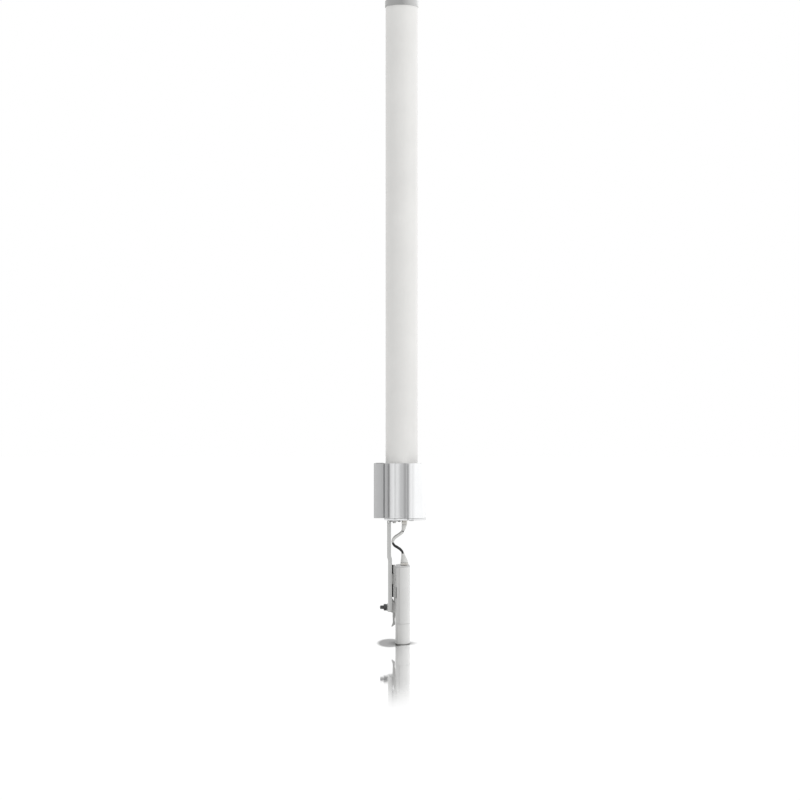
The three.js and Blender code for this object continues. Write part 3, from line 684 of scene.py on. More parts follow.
RECIPES = {
    "radome_white": (plastic, dict(
        colour=(0.705, 0.70, 0.685), rough=0.42, grain=1100, grain_strength=0.18,
        streak=True, edge=0.0, specular=0.45)),
    "cap_grey": (plastic, dict(
        colour=(0.42, 0.42, 0.415), rough=0.28, grain=1300, grain_strength=0.12,
        coat=0.2, light_and_shade_tones=CAP_PAINTED_LIGHT_AND_SHADE)),
    "radio_light": (plastic, dict(
        colour=(0.64, 0.64, 0.63), rough=0.38, grain=1500, grain_strength=0.30,
        edge=0.35, light_and_shade_tones=RADIO_PAINTED_LIGHT_AND_SHADE)),
    "mount_light": (plastic, dict(
        colour=(0.47, 0.47, 0.46), rough=0.45, grain=1300, cloud=0.03, edge=0.45)),
    "plastic_dark": (plastic, dict(
        colour=(0.20, 0.20, 0.20), rough=0.42, grain=1400, cloud=0.05, edge=0.7)),
    "panel_grey": (plastic, dict(
        colour=(0.53, 0.53, 0.53), rough=0.45, grain=1400, cloud=0.05, edge=0.8)),
    "rubber_black": (rubber, dict(colour=(0.012, 0.012, 0.012), rough=0.45)),
    "rubber_grey": (rubber, dict(colour=(0.60, 0.60, 0.585), rough=0.55)),
    "aluminium_bright": (metal, dict(
        colour=(0.87, 0.875, 0.88), rough=0.36, lines="Z", line_strength=0.07, tarnish=0.05,
        edge=0.15, hollow_shade=0.10, light_and_shade_tones=BRACKET_PAINTED_LIGHT_AND_SHADE)),
    "aluminium_plate": (metal, dict(
        colour=(0.78, 0.785, 0.79), rough=0.33, lines="Y", line_strength=0.14, tarnish=0.10)),
    "aluminium_satin": (metal, dict(
        colour=(0.56, 0.562, 0.555), rough=0.45, lines="Z", line_strength=0.16, tarnish=0.10,
        metallic=0.85)),
    "steel_bright": (metal, dict(
        colour=(0.58, 0.58, 0.57), rough=0.30, tarnish=0.2, blotch=(0.45, 0.45, 0.43))),
    "steel_grey": (metal, dict(
        colour=(0.27, 0.27, 0.27), rough=0.36, tarnish=0.25, edge=0.6,
        blotch=(0.18, 0.18, 0.17))),
    "steel_dark": (metal, dict(
        colour=(0.15, 0.15, 0.155), rough=0.38, line_strength=0.2, tarnish=0.3, edge=0.7,
        blotch=(0.07, 0.065, 0.06))),
    "brass_contact": (metal, dict(
        colour=(0.80, 0.58, 0.25), rough=0.25, line_strength=0.08, tarnish=0.25, edge=0.4,
        blotch=(0.50, 0.36, 0.17))),
    "nickel": (metal, dict(
        colour=(0.62, 0.605, 0.575), rough=0.24, tarnish=0.12, blotch=(0.50, 0.48, 0.45))),
    "board_green": (board, dict(colour=(0.018, 0.12, 0.055))),
    "foam_white": (foam, dict(colour=(0.82, 0.80, 0.74))),
    "clear_guide": (clear, dict(colour=(0.85, 0.90, 0.92))),
}
MATERIALS = {name: kind(name, **values) for name, (kind, values) in RECIPES.items()}

# ------------------------------------------------------------------ CAD pieces: material and shading
for node, ob in frame["nodes"].items():
    ob.data.materials.clear()
    ob.data.materials.append(MATERIALS[SLOT[node]])
    smooth(ob.data, 32)

# ------------------------------------------------------------------ radome and cap
TUBE_R = high("radome_tube")[0]
TUBE_Z0, TUBE_Z1 = low("radome_tube")[2], high("radome_tube")[2]


def radome():
    bore = TUBE_R - 3.0
    heights = np.linspace(TUBE_Z0 + 60, TUBE_Z1 - 60, 12)
    profile = [(TUBE_R - 0.5, TUBE_Z0), (TUBE_R, TUBE_Z0 + 0.5)]
    profile += [(TUBE_R, z) for z in heights]
    profile += [(TUBE_R, TUBE_Z1 - 0.5), (TUBE_R - 0.5, TUBE_Z1)]
    profile += [(bore + 0.3, TUBE_Z1), (bore, TUBE_Z1 - 0.3)]
    profile += [(bore, z) for z in heights[::-1]]
    profile += [(bore, TUBE_Z0 + 0.3), (bore + 0.3, TUBE_Z0)]
    return lathe(profile, seg=144, closed=True)


def cap():
    """A domed cap with a plug down into the tube and a fine groove round its skirt."""
    edge, top, bottom = high("top_cap")[0], high("top_cap")[2], low("top_cap")[2]
    skirt = top - 16.2
    plug, bore = 29.6, 26.4
    seal = 28.1  # floor of the groove round the plug
    profile = [  # radius, height, corner rounding
        (0, top - 9.2, 0), (bore, top - 9.2, 0.4), (bore, bottom, 0.3), (plug, bottom, 0.4),
        (plug, top - 16.8, 0.2), (seal, top - 16.8, 0.2), (seal, top - 13.2, 0.2),
        (plug, top - 13.2, 0.2), (plug, TUBE_Z1 + 0.3, 0.3), (TUBE_R + 0.3, TUBE_Z1 + 0.3, 0.3),
        (TUBE_R + 0.3, skirt, 0.3), (edge, skirt, 0.5), (edge, skirt + 2.2, 0.2),
        (edge - 0.35, skirt + 2.5, 0.1), (edge - 0.35, skirt + 3.1, 0.1),
        (edge, skirt + 3.4, 0.2), (edge, top - 3.8, 1.6), (edge - 1.3, top - 2.0, 1.8),
        (27, top - 0.95, 6), (14, top - 0.2, 9), (0, top, 0),
    ]
    return lathe(rounded(profile, steps=5), seg=144)


place(radome(), "radome_tube", "radome_white")
place(cap(), "top_cap", "cap_grey")

# ------------------------------------------------------------------ bracket and end plate, (x, y) outlines
FILLET = [
    (-34.4, 28.5), (-33.0, 28.8), (-31.2, 29.7), (-29.3, 31.1), (-27.7, 32.9), (-26.2, 35.0),
]
LOBE_NOTCH = [(-14.2, 43.44), (-13.95, 43.0), (-13.7, 42.75), (-13.45, 43.0), (-13.2, 43.5)]
FLUTE_AND_NOSE = [
    (-5.3, 41.3), (-3.3, 39.95), (-0.8, 38.2), (1.7, 36.85), (4.4, 36.05), (6.9, 35.85),
    (9.2, 36.3), (11.4, 37.7), (13.4, 39.7), (15.6, 41.7), (18.4, 43.4), (22, 44.2),
    (26, 43.8), (30.5, 42.0), (35, 38.8), (39, 34.5), (42.8, 29), (45.9, 22.5),
    (48.2, 15.5), (49.55, 7.8), (50, 0),
]
REAR_CELL = [(-52.5, 26.8), (-39, 26.8), (-33.2, 18.5), (-36.6, 9.5), (-38.8, 7.8), (-51.4, 24.2)]
FRONT_CELL = [
    (14.6, 37.6), (18, 40.2), (23, 41), (29.5, 39.2), (36, 33.6), (41.2, 25.6), (44.6, 15.8),
    (46.6, 2.2), (37.4, 2.2), (36, 10.4), (31.6, 20), (24.6, 28.2), (15.8, 34.2),
]
WING_TEETH = 9
TOOTH = ((0.22, 0.72), (0.42, 1.05), (0.58, 1.05), (0.78, 0.72), (1.0, 0.0))  # share of pitch, height


def lobe_arc(start, end):
    """Part of the lobe's circle, in degrees."""
    steps = int(abs(end - start) / 4)
    turns = [math.radians(start + (end - start) * i / steps) for i in range(steps + 1)]
    return [(-13 + 14.5 * math.cos(a), 29 + 14.5 * math.sin(a)) for a in turns]


def toothed_wing():
    """The wing's rear end on the +y side: a toothed slope, a corner and a narrow slot."""
    start, end = np.array([-41.0, 3.0]), np.array([-56.4, 23.4])
    outwards = np.array([0.795, 0.606])
    out = [(-40.7, 0.0), tuple(start)]
    for i in range(WING_TEETH):
        for share, rise in TOOTH:
            out.append(tuple(start + (end - start) * (i + share) / WING_TEETH + outwards * rise))
    out += rounded([(-56.4, 23.4), (-57, 24), (-57, 30), (-44.6, 30)], 0.5, 3)[1:-1]
    slot = [  # x, y, corner rounding
        (-42.0, 30), (-37.4, 30, 0.22), (-37.2, 25.8, 0.5), (-35.5, 25.8, 0.5),
        (-35.1, 28.2, 0.35), (-34.4, 28.5),
    ]
    return out + rounded(slot)[1:-1]


def bracket_outline(rear):
    """The whole outline from the +y half of its rear end."""
    half = rear + [tuple(p) for p in catmull(FILLET, 4)]
    half += lobe_arc(148, 97) + LOBE_NOTCH + lobe_arc(89, 58)
    half += [tuple(p) for p in catmull(FLUTE_AND_NOSE, 5)][1:]
    return clean(half + [(x, -y) for x, y in half[::-1] if abs(y) >= 1e-9])


def flip(loop):
    return [(x, -y) for x, y in loop]


def bracket():
    z0, z1 = low("bracket_extrusion")[2], high("bracket_extrusion")[2]
    cells = [soft_loop(REAR_CELL, 1.2), soft_loop(FRONT_CELL, 1.6)]
    ports = [circle(1.9, 20, x, y) for x, y in PLATE_SCREWS.values()]
    levels = [
        (z0, 0.30), (z0 + 0.12, 0.10), (z0 + 0.35, 0.0),
        (z1 - 0.35, 0.0), (z1 - 0.12, 0.10), (z1, 0.30),
    ]
    holes = [circle(33.35, 144), *cells, *map(flip, cells), *ports]
    return prism(bracket_outline(toothed_wing()), levels, holes, smooth_angle=28)


def end_plate():
    rear = rounded([(-35.6, 0), (-35.6, 27.2), (-35.2, 28.4), (-34.4, 28.5)], 0.8)[1:-1]
    holes = [circle(3.45, 32, JACK_X, y) for y in (JACK_Y, -JACK_Y)]
    holes += [circle(3.35, 32, VENT_X, 0)]
    holes += [circle(2.35, 20, HANGER_X, y) for y in (HANGER_Y, -HANGER_Y)]
    holes += [circle(2.05, 20, x, y) for x, y in PLATE_SCREWS.values()]
    levels = soft_levels(low("base_end_plate")[2], high("base_end_plate")[2], 0.5)
    return prism(bracket_outline(rear), levels, holes, smooth_angle=30)


place(bracket(), "bracket_extrusion", "aluminium_bright")
place(end_plate(), "base_end_plate", "aluminium_plate")


# ------------------------------------------------------------------ fasteners and jacks at the end plate
def star(outer, inner, points, cx, cy):
    out = []
    for k in range(points * 8):
        a = 2 * math.pi * k / (points * 8)
        r = inner + (outer - inner) * (0.5 + 0.5 * math.cos(points * a))
        out.append((cx + r * math.cos(a), cy + r * math.sin(a)))
    return out


def thread(radius, depth, pitch, end=math.inf):
    """A ridge once a pitch where the profile has this radius, below height end."""
    def ripple(r, height, angle):
        if abs(r - radius) > 1e-6 or height > end:
            return r
        phase = (height / pitch + angle / (2 * math.pi)) % 1.0
        return r - depth * abs(2 * phase - 1)
    return ripple


def shank(radius, start, end, step):
    """Close profile points for a thread to be cut in."""
    return [(radius, z) for z in np.arange(start, end, step)]


def under_screw(node, centre, head_r, head_h, shank_r):
    """A pan-head screw driven up from below, with a star recess."""
    bottom, top = low(node)[2], high(node)[2]
    seat = bottom + head_h
    head = [  # radius, height, corner rounding
        (0, bottom), (head_r * 0.55, bottom, 0.4), (head_r * 0.85, bottom + head_h * 0.25, 0.7),
        (head_r, bottom + head_h * 0.7, 0.4), (head_r, seat, 0.15), (shank_r, seat),
    ]
    profile = rounded(head) + shank(shank_r, seat + 0.6, top - 1.6, 0.16)
    profile += [(shank_r, top - 1.4), (shank_r * 0.4, top), (0, top)]
    screw = lathe(profile, seg=32, centre=centre, ripple=thread(shank_r, 0.16, 0.7))
    recess = star(head_r * 0.52, head_r * 0.36, 6, *centre)
    return punch(screw, recess, bottom - 1, bottom + head_h * 0.62)


def hex_nut(node, width, hole_r, centre, axis="Z"):
    """A hexagon nut, width across its flats, with both faces turned to a cone at the corners."""
    along = "XYZ".index(axis)
    z0, z1 = low(node)[along], high(node)[along]
    corner = width / math.sqrt(3)
    nut = prism(circle(corner, 6, *centre), [(z0, 0), (z1, 0)], [circle(hole_r, 40, *centre)], axis)
    face_r = width / 2 * 0.97
    drop_off = (corner - width / 2) * 0.62
    cone = [
        (0, z0 - 0.01), (face_r, z0 - 0.01), (corner + 0.05, z0 + drop_off),
        (corner + 0.05, z1 - drop_off), (face_r, z1 + 0.01), (0, z1 + 0.01),
    ]
    boolean(nut, lathe(cone, centre=centre, axis=axis), "INTERSECT")
    return bevel(nut, min(0.18, (z1 - z0) * 0.08), 25)


def antenna_jack(node, centre):
    """Its thread shows below the nut; the flange and the end above it are inside."""
    bottom, top = low(node)[2], high(node)[2]
    profile = [(0, bottom + 1.4), (1.6, bottom + 1.4), (1.6, bottom)]
    profile += shank(3.1, bottom + 0.1, bottom + 11.5, 0.12)
    profile += [(3.1, 257.0), (5.5, 257.0), (5.5, 260.4), (3.0, 260.4), (3.0, top), (0, top)]
    return lathe(profile, seg=32, centre=centre, ripple=thread(3.1, 0.14, 0.7))


def vent_plug():
    bottom, top = low("vent_plug")[2], high("vent_plug")[2]
    profile = [  # radius, height, corner rounding
        (0, bottom), (4.3, bottom, 0.3), (5, bottom + 0.8, 0.4), (5, 252.4, 0.2),
        (3.1, 252.4, 0.2), (3.1, top, 0.3), (0, top),
    ]
    vent = lathe(rounded(profile, steps=3), seg=48, centre=(VENT_X, 0))
    for k in range(3):  # short slits, all lying along Y
        a = math.radians(120 * k + 30)
        x, y = VENT_X + 1.9 * math.cos(a), 1.9 * math.sin(a)
        boolean(vent, block(x - 0.35, x + 0.35, y - 1.3, y + 1.3, bottom - 1, bottom + 0.9))
    return vent


for node, centre in PLATE_SCREWS.items():
    screw = under_screw(node, centre, head_r=3.35, head_h=2.7, shank_r=1.5)
    place(screw, node, "steel_grey")
for node in ("hanger_screw_left", "hanger_screw_right"):
    centre = (HANGER_X, math.copysign(HANGER_Y, middle(node)[1]))
    screw = under_screw(node, centre, head_r=4.0, head_h=3.4, shank_r=2.0)
    place(screw, node, "steel_bright")
for side, sign in SIDES.items():
    centre = (JACK_X, sign * JACK_Y)
    node = "jack_nut_" + side
    place(hex_nut(node, 10.74, 3.4, centre), node, "nickel")
    node = "antenna_jack_" + side
    place(antenna_jack(node, centre), node, "brass_contact")
place(vent_plug(), "vent_plug", "plastic_dark")

# ------------------------------------------------------------------ hanger channel
REAR_TOP, REAR_LOW = low("hanger_channel")[0], -28.0  # x of the rear face above and below the joggle
SHEET, DEPTH, HALF = 2.5, 8.1, 20.0
BEND_IN = 1.2
BEND_OUT = BEND_IN + SHEET
TAB_HALF = HALF - 3.6
TAB_BEND_OUT, TAB_BEND_IN = 3.2, 0.7
TAB_FRONT = -6.0
CHANNEL_Z0, CHANNEL_Z1 = low("hanger_channel")[2], high("hanger_channel")[2]


def bend(radius):
    """One corner of the U section, (depth, y), from flange to web."""
    turns = [math.radians(90 * i / 6) for i in range(7)]
    return [
        (BEND_OUT - radius * math.sin(a), -HALF + BEND_OUT - radius * math.cos(a)) for a in turns
    ]


def channel_strip():
    """The U section lofted up the rear face, joggle and all."""
    outer = [(DEPTH, -HALF), *bend(BEND_OUT)]
    inner = [(DEPTH, -HALF + SHEET), *bend(BEND_IN)]
    section = outer + flip(outer[::-1]) + flip(inner) + inner[::-1]
    rear = [
        (REAR_LOW, CHANNEL_Z0), (REAR_LOW, 171.0), (REAR_TOP, 177.0), (REAR_TOP, CHANNEL_Z1 - 1.0),
    ]
    return loft([[(x + d, y, z) for d, y in section] for x, z in rounded(rear, 5.0, 6)])


def channel_tab():
    """Top tab folded forward under the plate, its front corners rounded."""
    def fold(radius, angles):
        x, z = REAR_TOP + TAB_BEND_OUT, CHANNEL_Z1 - TAB_BEND_OUT
        turns = [math.radians(a) for a in angles]
        return [(x - radius * math.cos(a), z + radius * math.sin(a)) for a in turns]

    side = [(REAR_TOP, CHANNEL_Z1 - 9)] + fold(TAB_BEND_OUT, range(0, 91, 15))
    side += [(TAB_FRONT, CHANNEL_Z1), (TAB_FRONT, CHANNEL_Z1 - SHEET)]
    side += fold(TAB_BEND_IN, range(90, -1, -15)) + [(REAR_TOP + SHEET, CHANNEL_Z1 - 9)]
    tab = bar(clean(side), -TAB_HALF, TAB_HALF, "Y")
    plan = round_rect(REAR_TOP - 40, TAB_FRONT, -TAB_HALF, TAB_HALF, 5)
    return boolean(tab, bar(plan, CHANNEL_Z1 - 20, CHANNEL_Z1 + 5), "INTERSECT")


def channel():
    ob = channel_strip()
    # the flanges stop short of the top bend and are rounded at both ends, (x, z)
    top = CHANNEL_Z1
    front = REAR_TOP + DEPTH
    cut_top = [
        (REAR_TOP - 1, top - 3.6), (front - 2.6, top - 3.6), (front - 1.2, top - 4.2),
        (front - 0.2, top - 5.6), (front + 0.2, top - 7.4), (front + 3, top - 7.4),
        (front + 3, top + 4), (REAR_TOP - 1, top + 4),
    ]
    low_front = REAR_LOW + DEPTH
    bottom = CHANNEL_Z0
    cut_low = [
        (low_front + 2, bottom - 2), (low_front + 2, bottom + 6.5), (low_front + 0.1, bottom + 6.5),
        (low_front - 0.3, bottom + 4.4), (low_front - 1.4, bottom + 2.4),
        (low_front - 3.2, bottom + 1.1), (low_front - 4.6, bottom + 0.4), (low_front - 6, bottom - 2),
    ]
    for sign in (-1, 1):
        for outline in (cut_top, cut_low):
            punch(ob, outline, sign * (HALF - 3.9), sign * (HALF + 1), "Y")
    # the web is cut back so the fold can take its place
    boolean(ob, block(REAR_TOP - 2, REAR_TOP + 4, -30, 30, top - 6, top + 3))
    boolean(ob, channel_tab(), "UNION")
    punch(ob, circle(4.4, 40, 0, BOLT_Z), -45, -10, "X")
    for z0, z1 in ((124, 141), (200, 224)):  # upright slots in the web
        punch(ob, round_rect(-4, 4, z0, z1, 3.95, 8), -45, -10, "X")
    for y in (-HANGER_Y, HANGER_Y):
        punch(ob, circle(2.4, 28, HANGER_X, y), top - 12, top + 5)
    return bevel(ob, 0.28, 40)


place(channel(), "hanger_channel", "aluminium_satin")


# ------------------------------------------------------------------ mount bolt, washer, nut
def mount_bolt():
    x0, x1 = low("mount_bolt")[0], high("mount_bolt")[0]
    profile = [(0, x0), (2.6, x0), (3.6, x0 + 1.2)] + shank(4.0, x0 + 1.5, -22.0, 0.2)
    profile += [(4.0, -20.6), (3.8, -20.4), (6.2, -18.2), (6.2, x1), (0, x1)]
    ripple = thread(4.0, 0.42, 1.25, end=-21.5)
    return lathe(profile, seg=40, centre=(0, BOLT_Z), axis="X", ripple=ripple)


def mount_washer():
    levels = soft_levels(low("mount_washer")[0], high("mount_washer")[0], 0.25, 2)
    return prism(circle(8, 64, 0, BOLT_Z), levels, [circle(4.3, 48, 0, BOLT_Z)], "X")


place(mount_bolt(), "mount_bolt", "steel_dark")
place(mount_washer(), "mount_washer", "steel_bright")
place(hex_nut("mount_nut", 13.0, 4.15, (0, BOLT_Z), "X"), "mount_nut", "steel_dark")

# ------------------------------------------------------------------ radio mount and its latch
# side outlines, (x, z)
FOOT = [
    (-24.9, 80), (-24.9, 94), (-20.6, 94), (-16, 84), (-15.4, 62), (-16, 62), (-24.9, 66),
    (-24.9, 80),
]
EAR = [
    (-14.8, 66), (-18.6, 66), (-18.7, 57), (-18.0, 53.6), (-15.6, 52.1), (-13.4, 52.1),
    (-13.3, 56), (-13.3, 66), (-14.8, 66),
]
EDGE_RELIEF = [(-17.0, 97), (-15.9, 97), (-13.0, 81), (-13.0, 76), (-17.0, 92)]
LATCH = [
    (-17.4, 59.4), (-14.7, 59.3), (-14.3, 44), (-13.7, 42.2), (-13.7, 38.6), (-15.3, 37.5),
    (-17.6, 35.9), (-20.2, 33.7), (-21.1, 34.6), (-20.2, 37.4), (-18.9, 40.2), (-18.3, 43.5),
    (-18.75, 58.2), (-17.4, 59.4),
]


def mount():
    plate = round_rect(-21, 21, 62, high("radio_mount")[2], 5, 8)
    ob = prism(plate, soft_levels(-16.4, -13.3, 0.6), axis="X")
    # hollow pad on the rear face, with two upright ribs
    pad = prism(round_rect(-17, 17, 121, 143, 3), [(-24.9, 0.5), (-24.4, 0), (-15, 0)], axis="X")
    boolean(ob, pad, "UNION")
    punch(ob, round_rect(-13, 13, 124.5, 139.5, 2, 5), -26, -17.6, "X")
    for y in (-4.5, 4.5):
        boolean(ob, block(-24.3, -17, y - 0.7, y + 0.7, 122, 142), "UNION")
    # foot round the bolt, hollowed from the rear on each side
    boolean(ob, prism(rounded(FOOT, 1.0), soft_levels(-17, 17, 0.6, 2), axis="Y"), "UNION")
    for y0, y1 in ((-13.5, -9.5), (9.5, 13.5)):
        boolean(ob, block(-27.2, -17.8, y0, y1, 69, 88))
    # ears that hold the latch pin
    for y0, y1 in ((-15, -10.05), (10.05, 15)):
        boolean(ob, prism(rounded(EAR, 0.8), soft_levels(y0, y1, 0.4, 2), axis="Y"), "UNION")
    # bolt hole, with room for its head from the front
    punch(ob, circle(4.3, 40, 0, BOLT_Z), -30, -12, "X")
    punch(ob, circle(6.8, 40, 0, BOLT_Z), -20.9, -10, "X")
    # window in the plate, cleared behind
    boolean(ob, block(-30, -16.4, -12, 12, 100, 115))
    punch(ob, round_rect(-9, 9, 98, 114, 2.5, 5), -20, -10, "X")
    punch(ob, circle(1.5, 28, PIN_X, PIN_Z), -20, 20, "Y")
    for sign in (-1, 1):  # a slanted relief in each long edge, where the foot meets the plate
        punch(ob, EDGE_RELIEF, 19.4 * sign, 30 * sign, "Y")
    boolean(ob, block(-20, -10, -10, 10, 50, 60.5))  # room for the latch between the ears
    return weld(bevel(ob, 0.25, 50), 0.004)


# black rubber pads put in the gap between mount and channel, a dark fill that stands in for the shade there
def mount_pad(node):
    (x0, y0, z0), (x1, y1, z1) = low(node), high(node)
    pad = prism(round_rect(x0, x1, y0, y1, 0.8, 4), soft_levels(z0, z1, 0.6))
    for k in range(int((z1 - z0 - 4) / 2.4)):  # grip grooves on both faces
        z = z0 + 2.6 + 2.4 * k
        for x in (x0, x1):
            punch(pad, circle(0.45, 12, x, z), -9, 9, "Y")
    return pad


def latch():
    ob = prism(clean(rounded(LATCH, 0.9)), soft_levels(-9.6, 9.6, 0.6), axis="Y")
    punch(ob, circle(1.5, 28, PIN_X, PIN_Z), -12, 12, "Y")
    punch(ob, round_rect(-5.6, 5.6, 45.5, 53.5, 1.6, 5), -20, -12, "X")
    for k in range(3):  # grip ridges on the thumb tab
        ridge = circle(0.42, 16, -20.0 + k * 0.75, 36.2 + k * 1.5)
        boolean(ob, bar(ridge, -7.5, 7.5, "Y"), "UNION")
    return bevel(ob, 0.15, 50)


def latch_pin():
    levels = soft_levels(low("latch_pin")[1], high("latch_pin")[1], 0.3, 2)
    return prism(circle(1.2, 28, PIN_X, PIN_Z), levels, axis="Y")


place(mount(), "radio_mount", "mount_light")
# the black pads stand in for the shade in the gap behind the mount
for node in ("mount_pad_upper", "mount_pad_lower"):
    place(mount_pad(node), node, "rubber_black")
place(latch(), "mount_latch", "mount_light")
place(latch_pin(), "latch_pin", "steel_bright")

# ------------------------------------------------------------------ radio shells, panel and cover
SEAM = -5.5  # x where the front and back shells meet
FRONT, REAR = high("radio_front_shell")[0], low("radio_back_shell")[0]
HALF_W = high("radio_front_shell")[1]
WALL = 2.2
SHELL_Z0, SHELL_Z1 = low("radio_front_shell")[2], high("radio_front_shell")[2]
FRONT_POWER, REAR_POWER = 2.7, 3.6  # superellipse exponents of the plan
PLAN_STEPS = 256
CABLE_EXIT = (5, 16)


def radio_plan(depth):
    """The radio's plan outline, pulled in by depth."""
    width, front, rear = HALF_W - depth, FRONT - SEAM - depth, SEAM - REAR - depth
    out = []
    for i in range(PLAN_STEPS):
        a = 2 * math.pi * i / PLAN_STEPS
        c, s = math.cos(a), math.sin(a)
        reach, power = (front, 2 / FRONT_POWER) if c >= 0 else (rear, 2 / REAR_POWER)
        x = SEAM + reach * math.copysign(abs(c) ** power, c)
        out.append((x, width * math.copysign(abs(s) ** power, s)))
    return out


def radio_slab(stations):
    """The plan lofted through (z, inset)."""
    return loft([[(x, y, z) for x, y in radio_plan(depth)] for z, depth in stations])


def ends(z0, z1, r0, r1, steps):
    """Stations for a slab whose lower edge is rounded by r0 and upper edge by r1."""
    turns = np.linspace(0, math.pi / 2, steps + 1)
    out = [(z0 + r0 * (1 - math.cos(a)), r0 * (1 - math.sin(a))) for a in turns]
    return out + [(z1 - r1 * (1 - math.sin(a)), r1 * (1 - math.cos(a))) for a in turns]


def whole_shell():
    shell = radio_slab(ends(SHELL_Z0, SHELL_Z1, 0.2, 0.35, 2))
    return boolean(shell, radio_slab([(SHELL_Z0 + 2.4, WALL), (SHELL_Z1 + 5, WALL)]))


def front_shell():
    shell = whole_shell()
    boolean(shell, block(-60, SEAM + 0.15, -60, 60, -20, 220))
    # a step round the seam, so the joint shows as a fine shadow line
    lip = block(-60, SEAM + 0.75, -60, 60, -20, 220)
    boolean(lip, radio_slab([(SHELL_Z0 - 3, 0.45), (SHELL_Z1 + 3, 0.45)]))
    boolean(shell, lip)
    # rectangular and round openings in the floor
    for x0, x1, y0, y1 in ((-1.8, 11.3, 7.7, 24.3), (-4, -1.2, -28.4, 28.4)):
        boolean(shell, block(x0, x1, y0, y1, 40, 46))
    for radius, y in ((2.2, -8), (1.4, -17)):
        punch(shell, circle(radius, 28, 5, y), 38, 48)
    return shell


def back_shell():
    shell = whole_shell()
    boolean(shell, block(SEAM - 0.15, 60, -60, 60, -20, 220))
    # shallow grooves down the back, each side of the mount
    for y in (-31.5, -27.5, 27.5, 31.5):
        punch(shell, round_rect(y - 0.55, y + 0.55, 56, 118, 0.5, 4), REAR - 2, REAR + 0.55, "X")
    for sign in (-1, 1):  # an upright slot in each side
        punch(shell, round_rect(-11.9, -10.1, 94, 117, 0.85, 5), 29 * sign, 45 * sign, "Y")
    # slotted rail for the port cover
    rail = round_rect(-24, 24, 6, SHELL_Z0 + 1, 2.5)
    boolean(shell, prism(rail, soft_levels(-10.2, -7.8, 0.4, 2), axis="X"), "UNION")
    for y in (-16, 16):
        punch(shell, round_rect(y - 1.4, y + 1.4, 11, 34, 1.3, 5), -12, -6, "X")
    return shell


def connector_panel():
    """The radio's top: a plate with a plug below and a ring groove round each jack."""
    z0, z1 = low("connector_panel")[2], high("connector_panel")[2]
    panel = radio_slab([
        (SHELL_Z1 + 0.3, 0.75), (SHELL_Z1 + 0.5, 0.55), (z1 - 0.9, 0.55), (z1 - 0.5, 0.68),
        (z1 - 0.2, 0.95), (z1, 1.5),
    ])
    plug = [(z0, WALL + 0.5), (z0 + 0.3, WALL + 0.3), (SHELL_Z1 + 0.6, WALL + 0.3)]
    boolean(panel, radio_slab(plug), "UNION")
    for y in (-JACK_Y, JACK_Y):
        punch(panel, circle(3.45, 40, JACK_X, y), 140, 170)
        groove = [circle(radius, 64, JACK_X, y) for radius in (8.7, 8.2)]
        boolean(panel, prism(groove[0], [(z1 - 0.3, 0), (170, 0)], groove[1:]))
    return panel


def port_cover():
    z0, z1 = low("port_cover")[2], high("port_cover")[2]
    cover = radio_slab(ends(z0, z1, 2.4, 0.2, 5))
    boolean(cover, radio_slab([
        (z0 + 2.6, WALL + 1.2), (z0 + 3.4, WALL + 0.3), (z0 + 4.6, WALL), (z1 + 5, WALL),
    ]))
    # round opening in the bottom, with a fine ring round it
    punch(cover, circle(5, 48, *CABLE_EXIT), -5, 8)
    rim = prism(circle(6.6, 64, *CABLE_EXIT), [(-2, 0), (0.35, 0)], [circle(6.0, 64, *CABLE_EXIT)])
    boolean(cover, rim)
    for k in range(5):  # thumb grooves low on the front
        z = 12 + 2.6 * k
        half = 11 - abs(k - 2) * 1.2
        groove = round_rect(-half, half, z - 0.5, z + 0.5, 0.48, 5)
        punch(cover, groove, FRONT - 0.55, FRONT + 3, "X")
    return cover


place(front_shell(), "radio_front_shell", "radio_light")
place(back_shell(), "radio_back_shell", "radio_light")
place(connector_panel(), "connector_panel", "panel_grey")
place(port_cover(), "port_cover", "radio_light")


# ------------------------------------------------------------------ small parts of the radio
def radio_jack(node, centre):
    bottom, top = low(node)[2], high(node)[2]
    profile = [(0, bottom), (1.2, bottom), (1.2, 148.6), (5.2, 148.6), (5.2, 153.3), (3.1, 153.3)]
    profile += shank(3.1, 153.6, top - 0.3, 0.12)
    profile += [(2.9, top - 0.1), (2.7, top), (1.6, top), (1.6, top - 1.6), (0, top - 1.6)]
    return lathe(profile, seg=32, centre=centre, ripple=thread(3.1, 0.14, 0.7))


# radius, height, corner rounding
BUTTON = [
    (0, 37), (1.8, 37, 0.6), (1.8, 44.8, 0.2), (3, 44.8, 0.3), (3, 46.3, 0.3), (1.6, 46.3, 0.2),
    (1.6, 50, 0.3), (0, 50),
]
LIGHT_PIPE = [(0, 40.4), (1.1, 40.8, 0.5), (1.1, 52, 0.2), (0, 52)]


def ethernet_jack():
    """Network jack: a shield with a stepped mouth and eight contacts."""
    (x0, y0, z0), (x1, y1, z1) = low("ethernet_jack"), high("ethernet_jack")
    jack = prism(round_rect(x0, x1, y0, y1, 0.5, 4), soft_levels(z0, z1, 0.3, 2))
    mid = (y0 + y1) / 2
    mouth = [
        (x0 + 1.7, mid - 6.0), (x0 + 9.2, mid - 6.0), (x0 + 9.2, mid - 3.2), (x0 + 11.0, mid - 3.2),
        (x0 + 11.0, mid + 3.2), (x0 + 9.2, mid + 3.2), (x0 + 9.2, mid + 6.0), (x0 + 1.7, mid + 6.0),
    ]
    levels = [(z0 - 2, -0.4), (z0 + 0.01, -0.4), (z0 + 0.5, 0), (z0 + 15, 0)]
    boolean(jack, prism(mouth, levels))
    for k in range(8):
        y = mid + (k - 3.5) * 1.02
        pin = block(x0 + 1.5, x0 + 2.5, y - 0.2, y + 0.2, z0 + 1.5, z0 + 15.3)
        boolean(jack, pin, "UNION")
    return jack


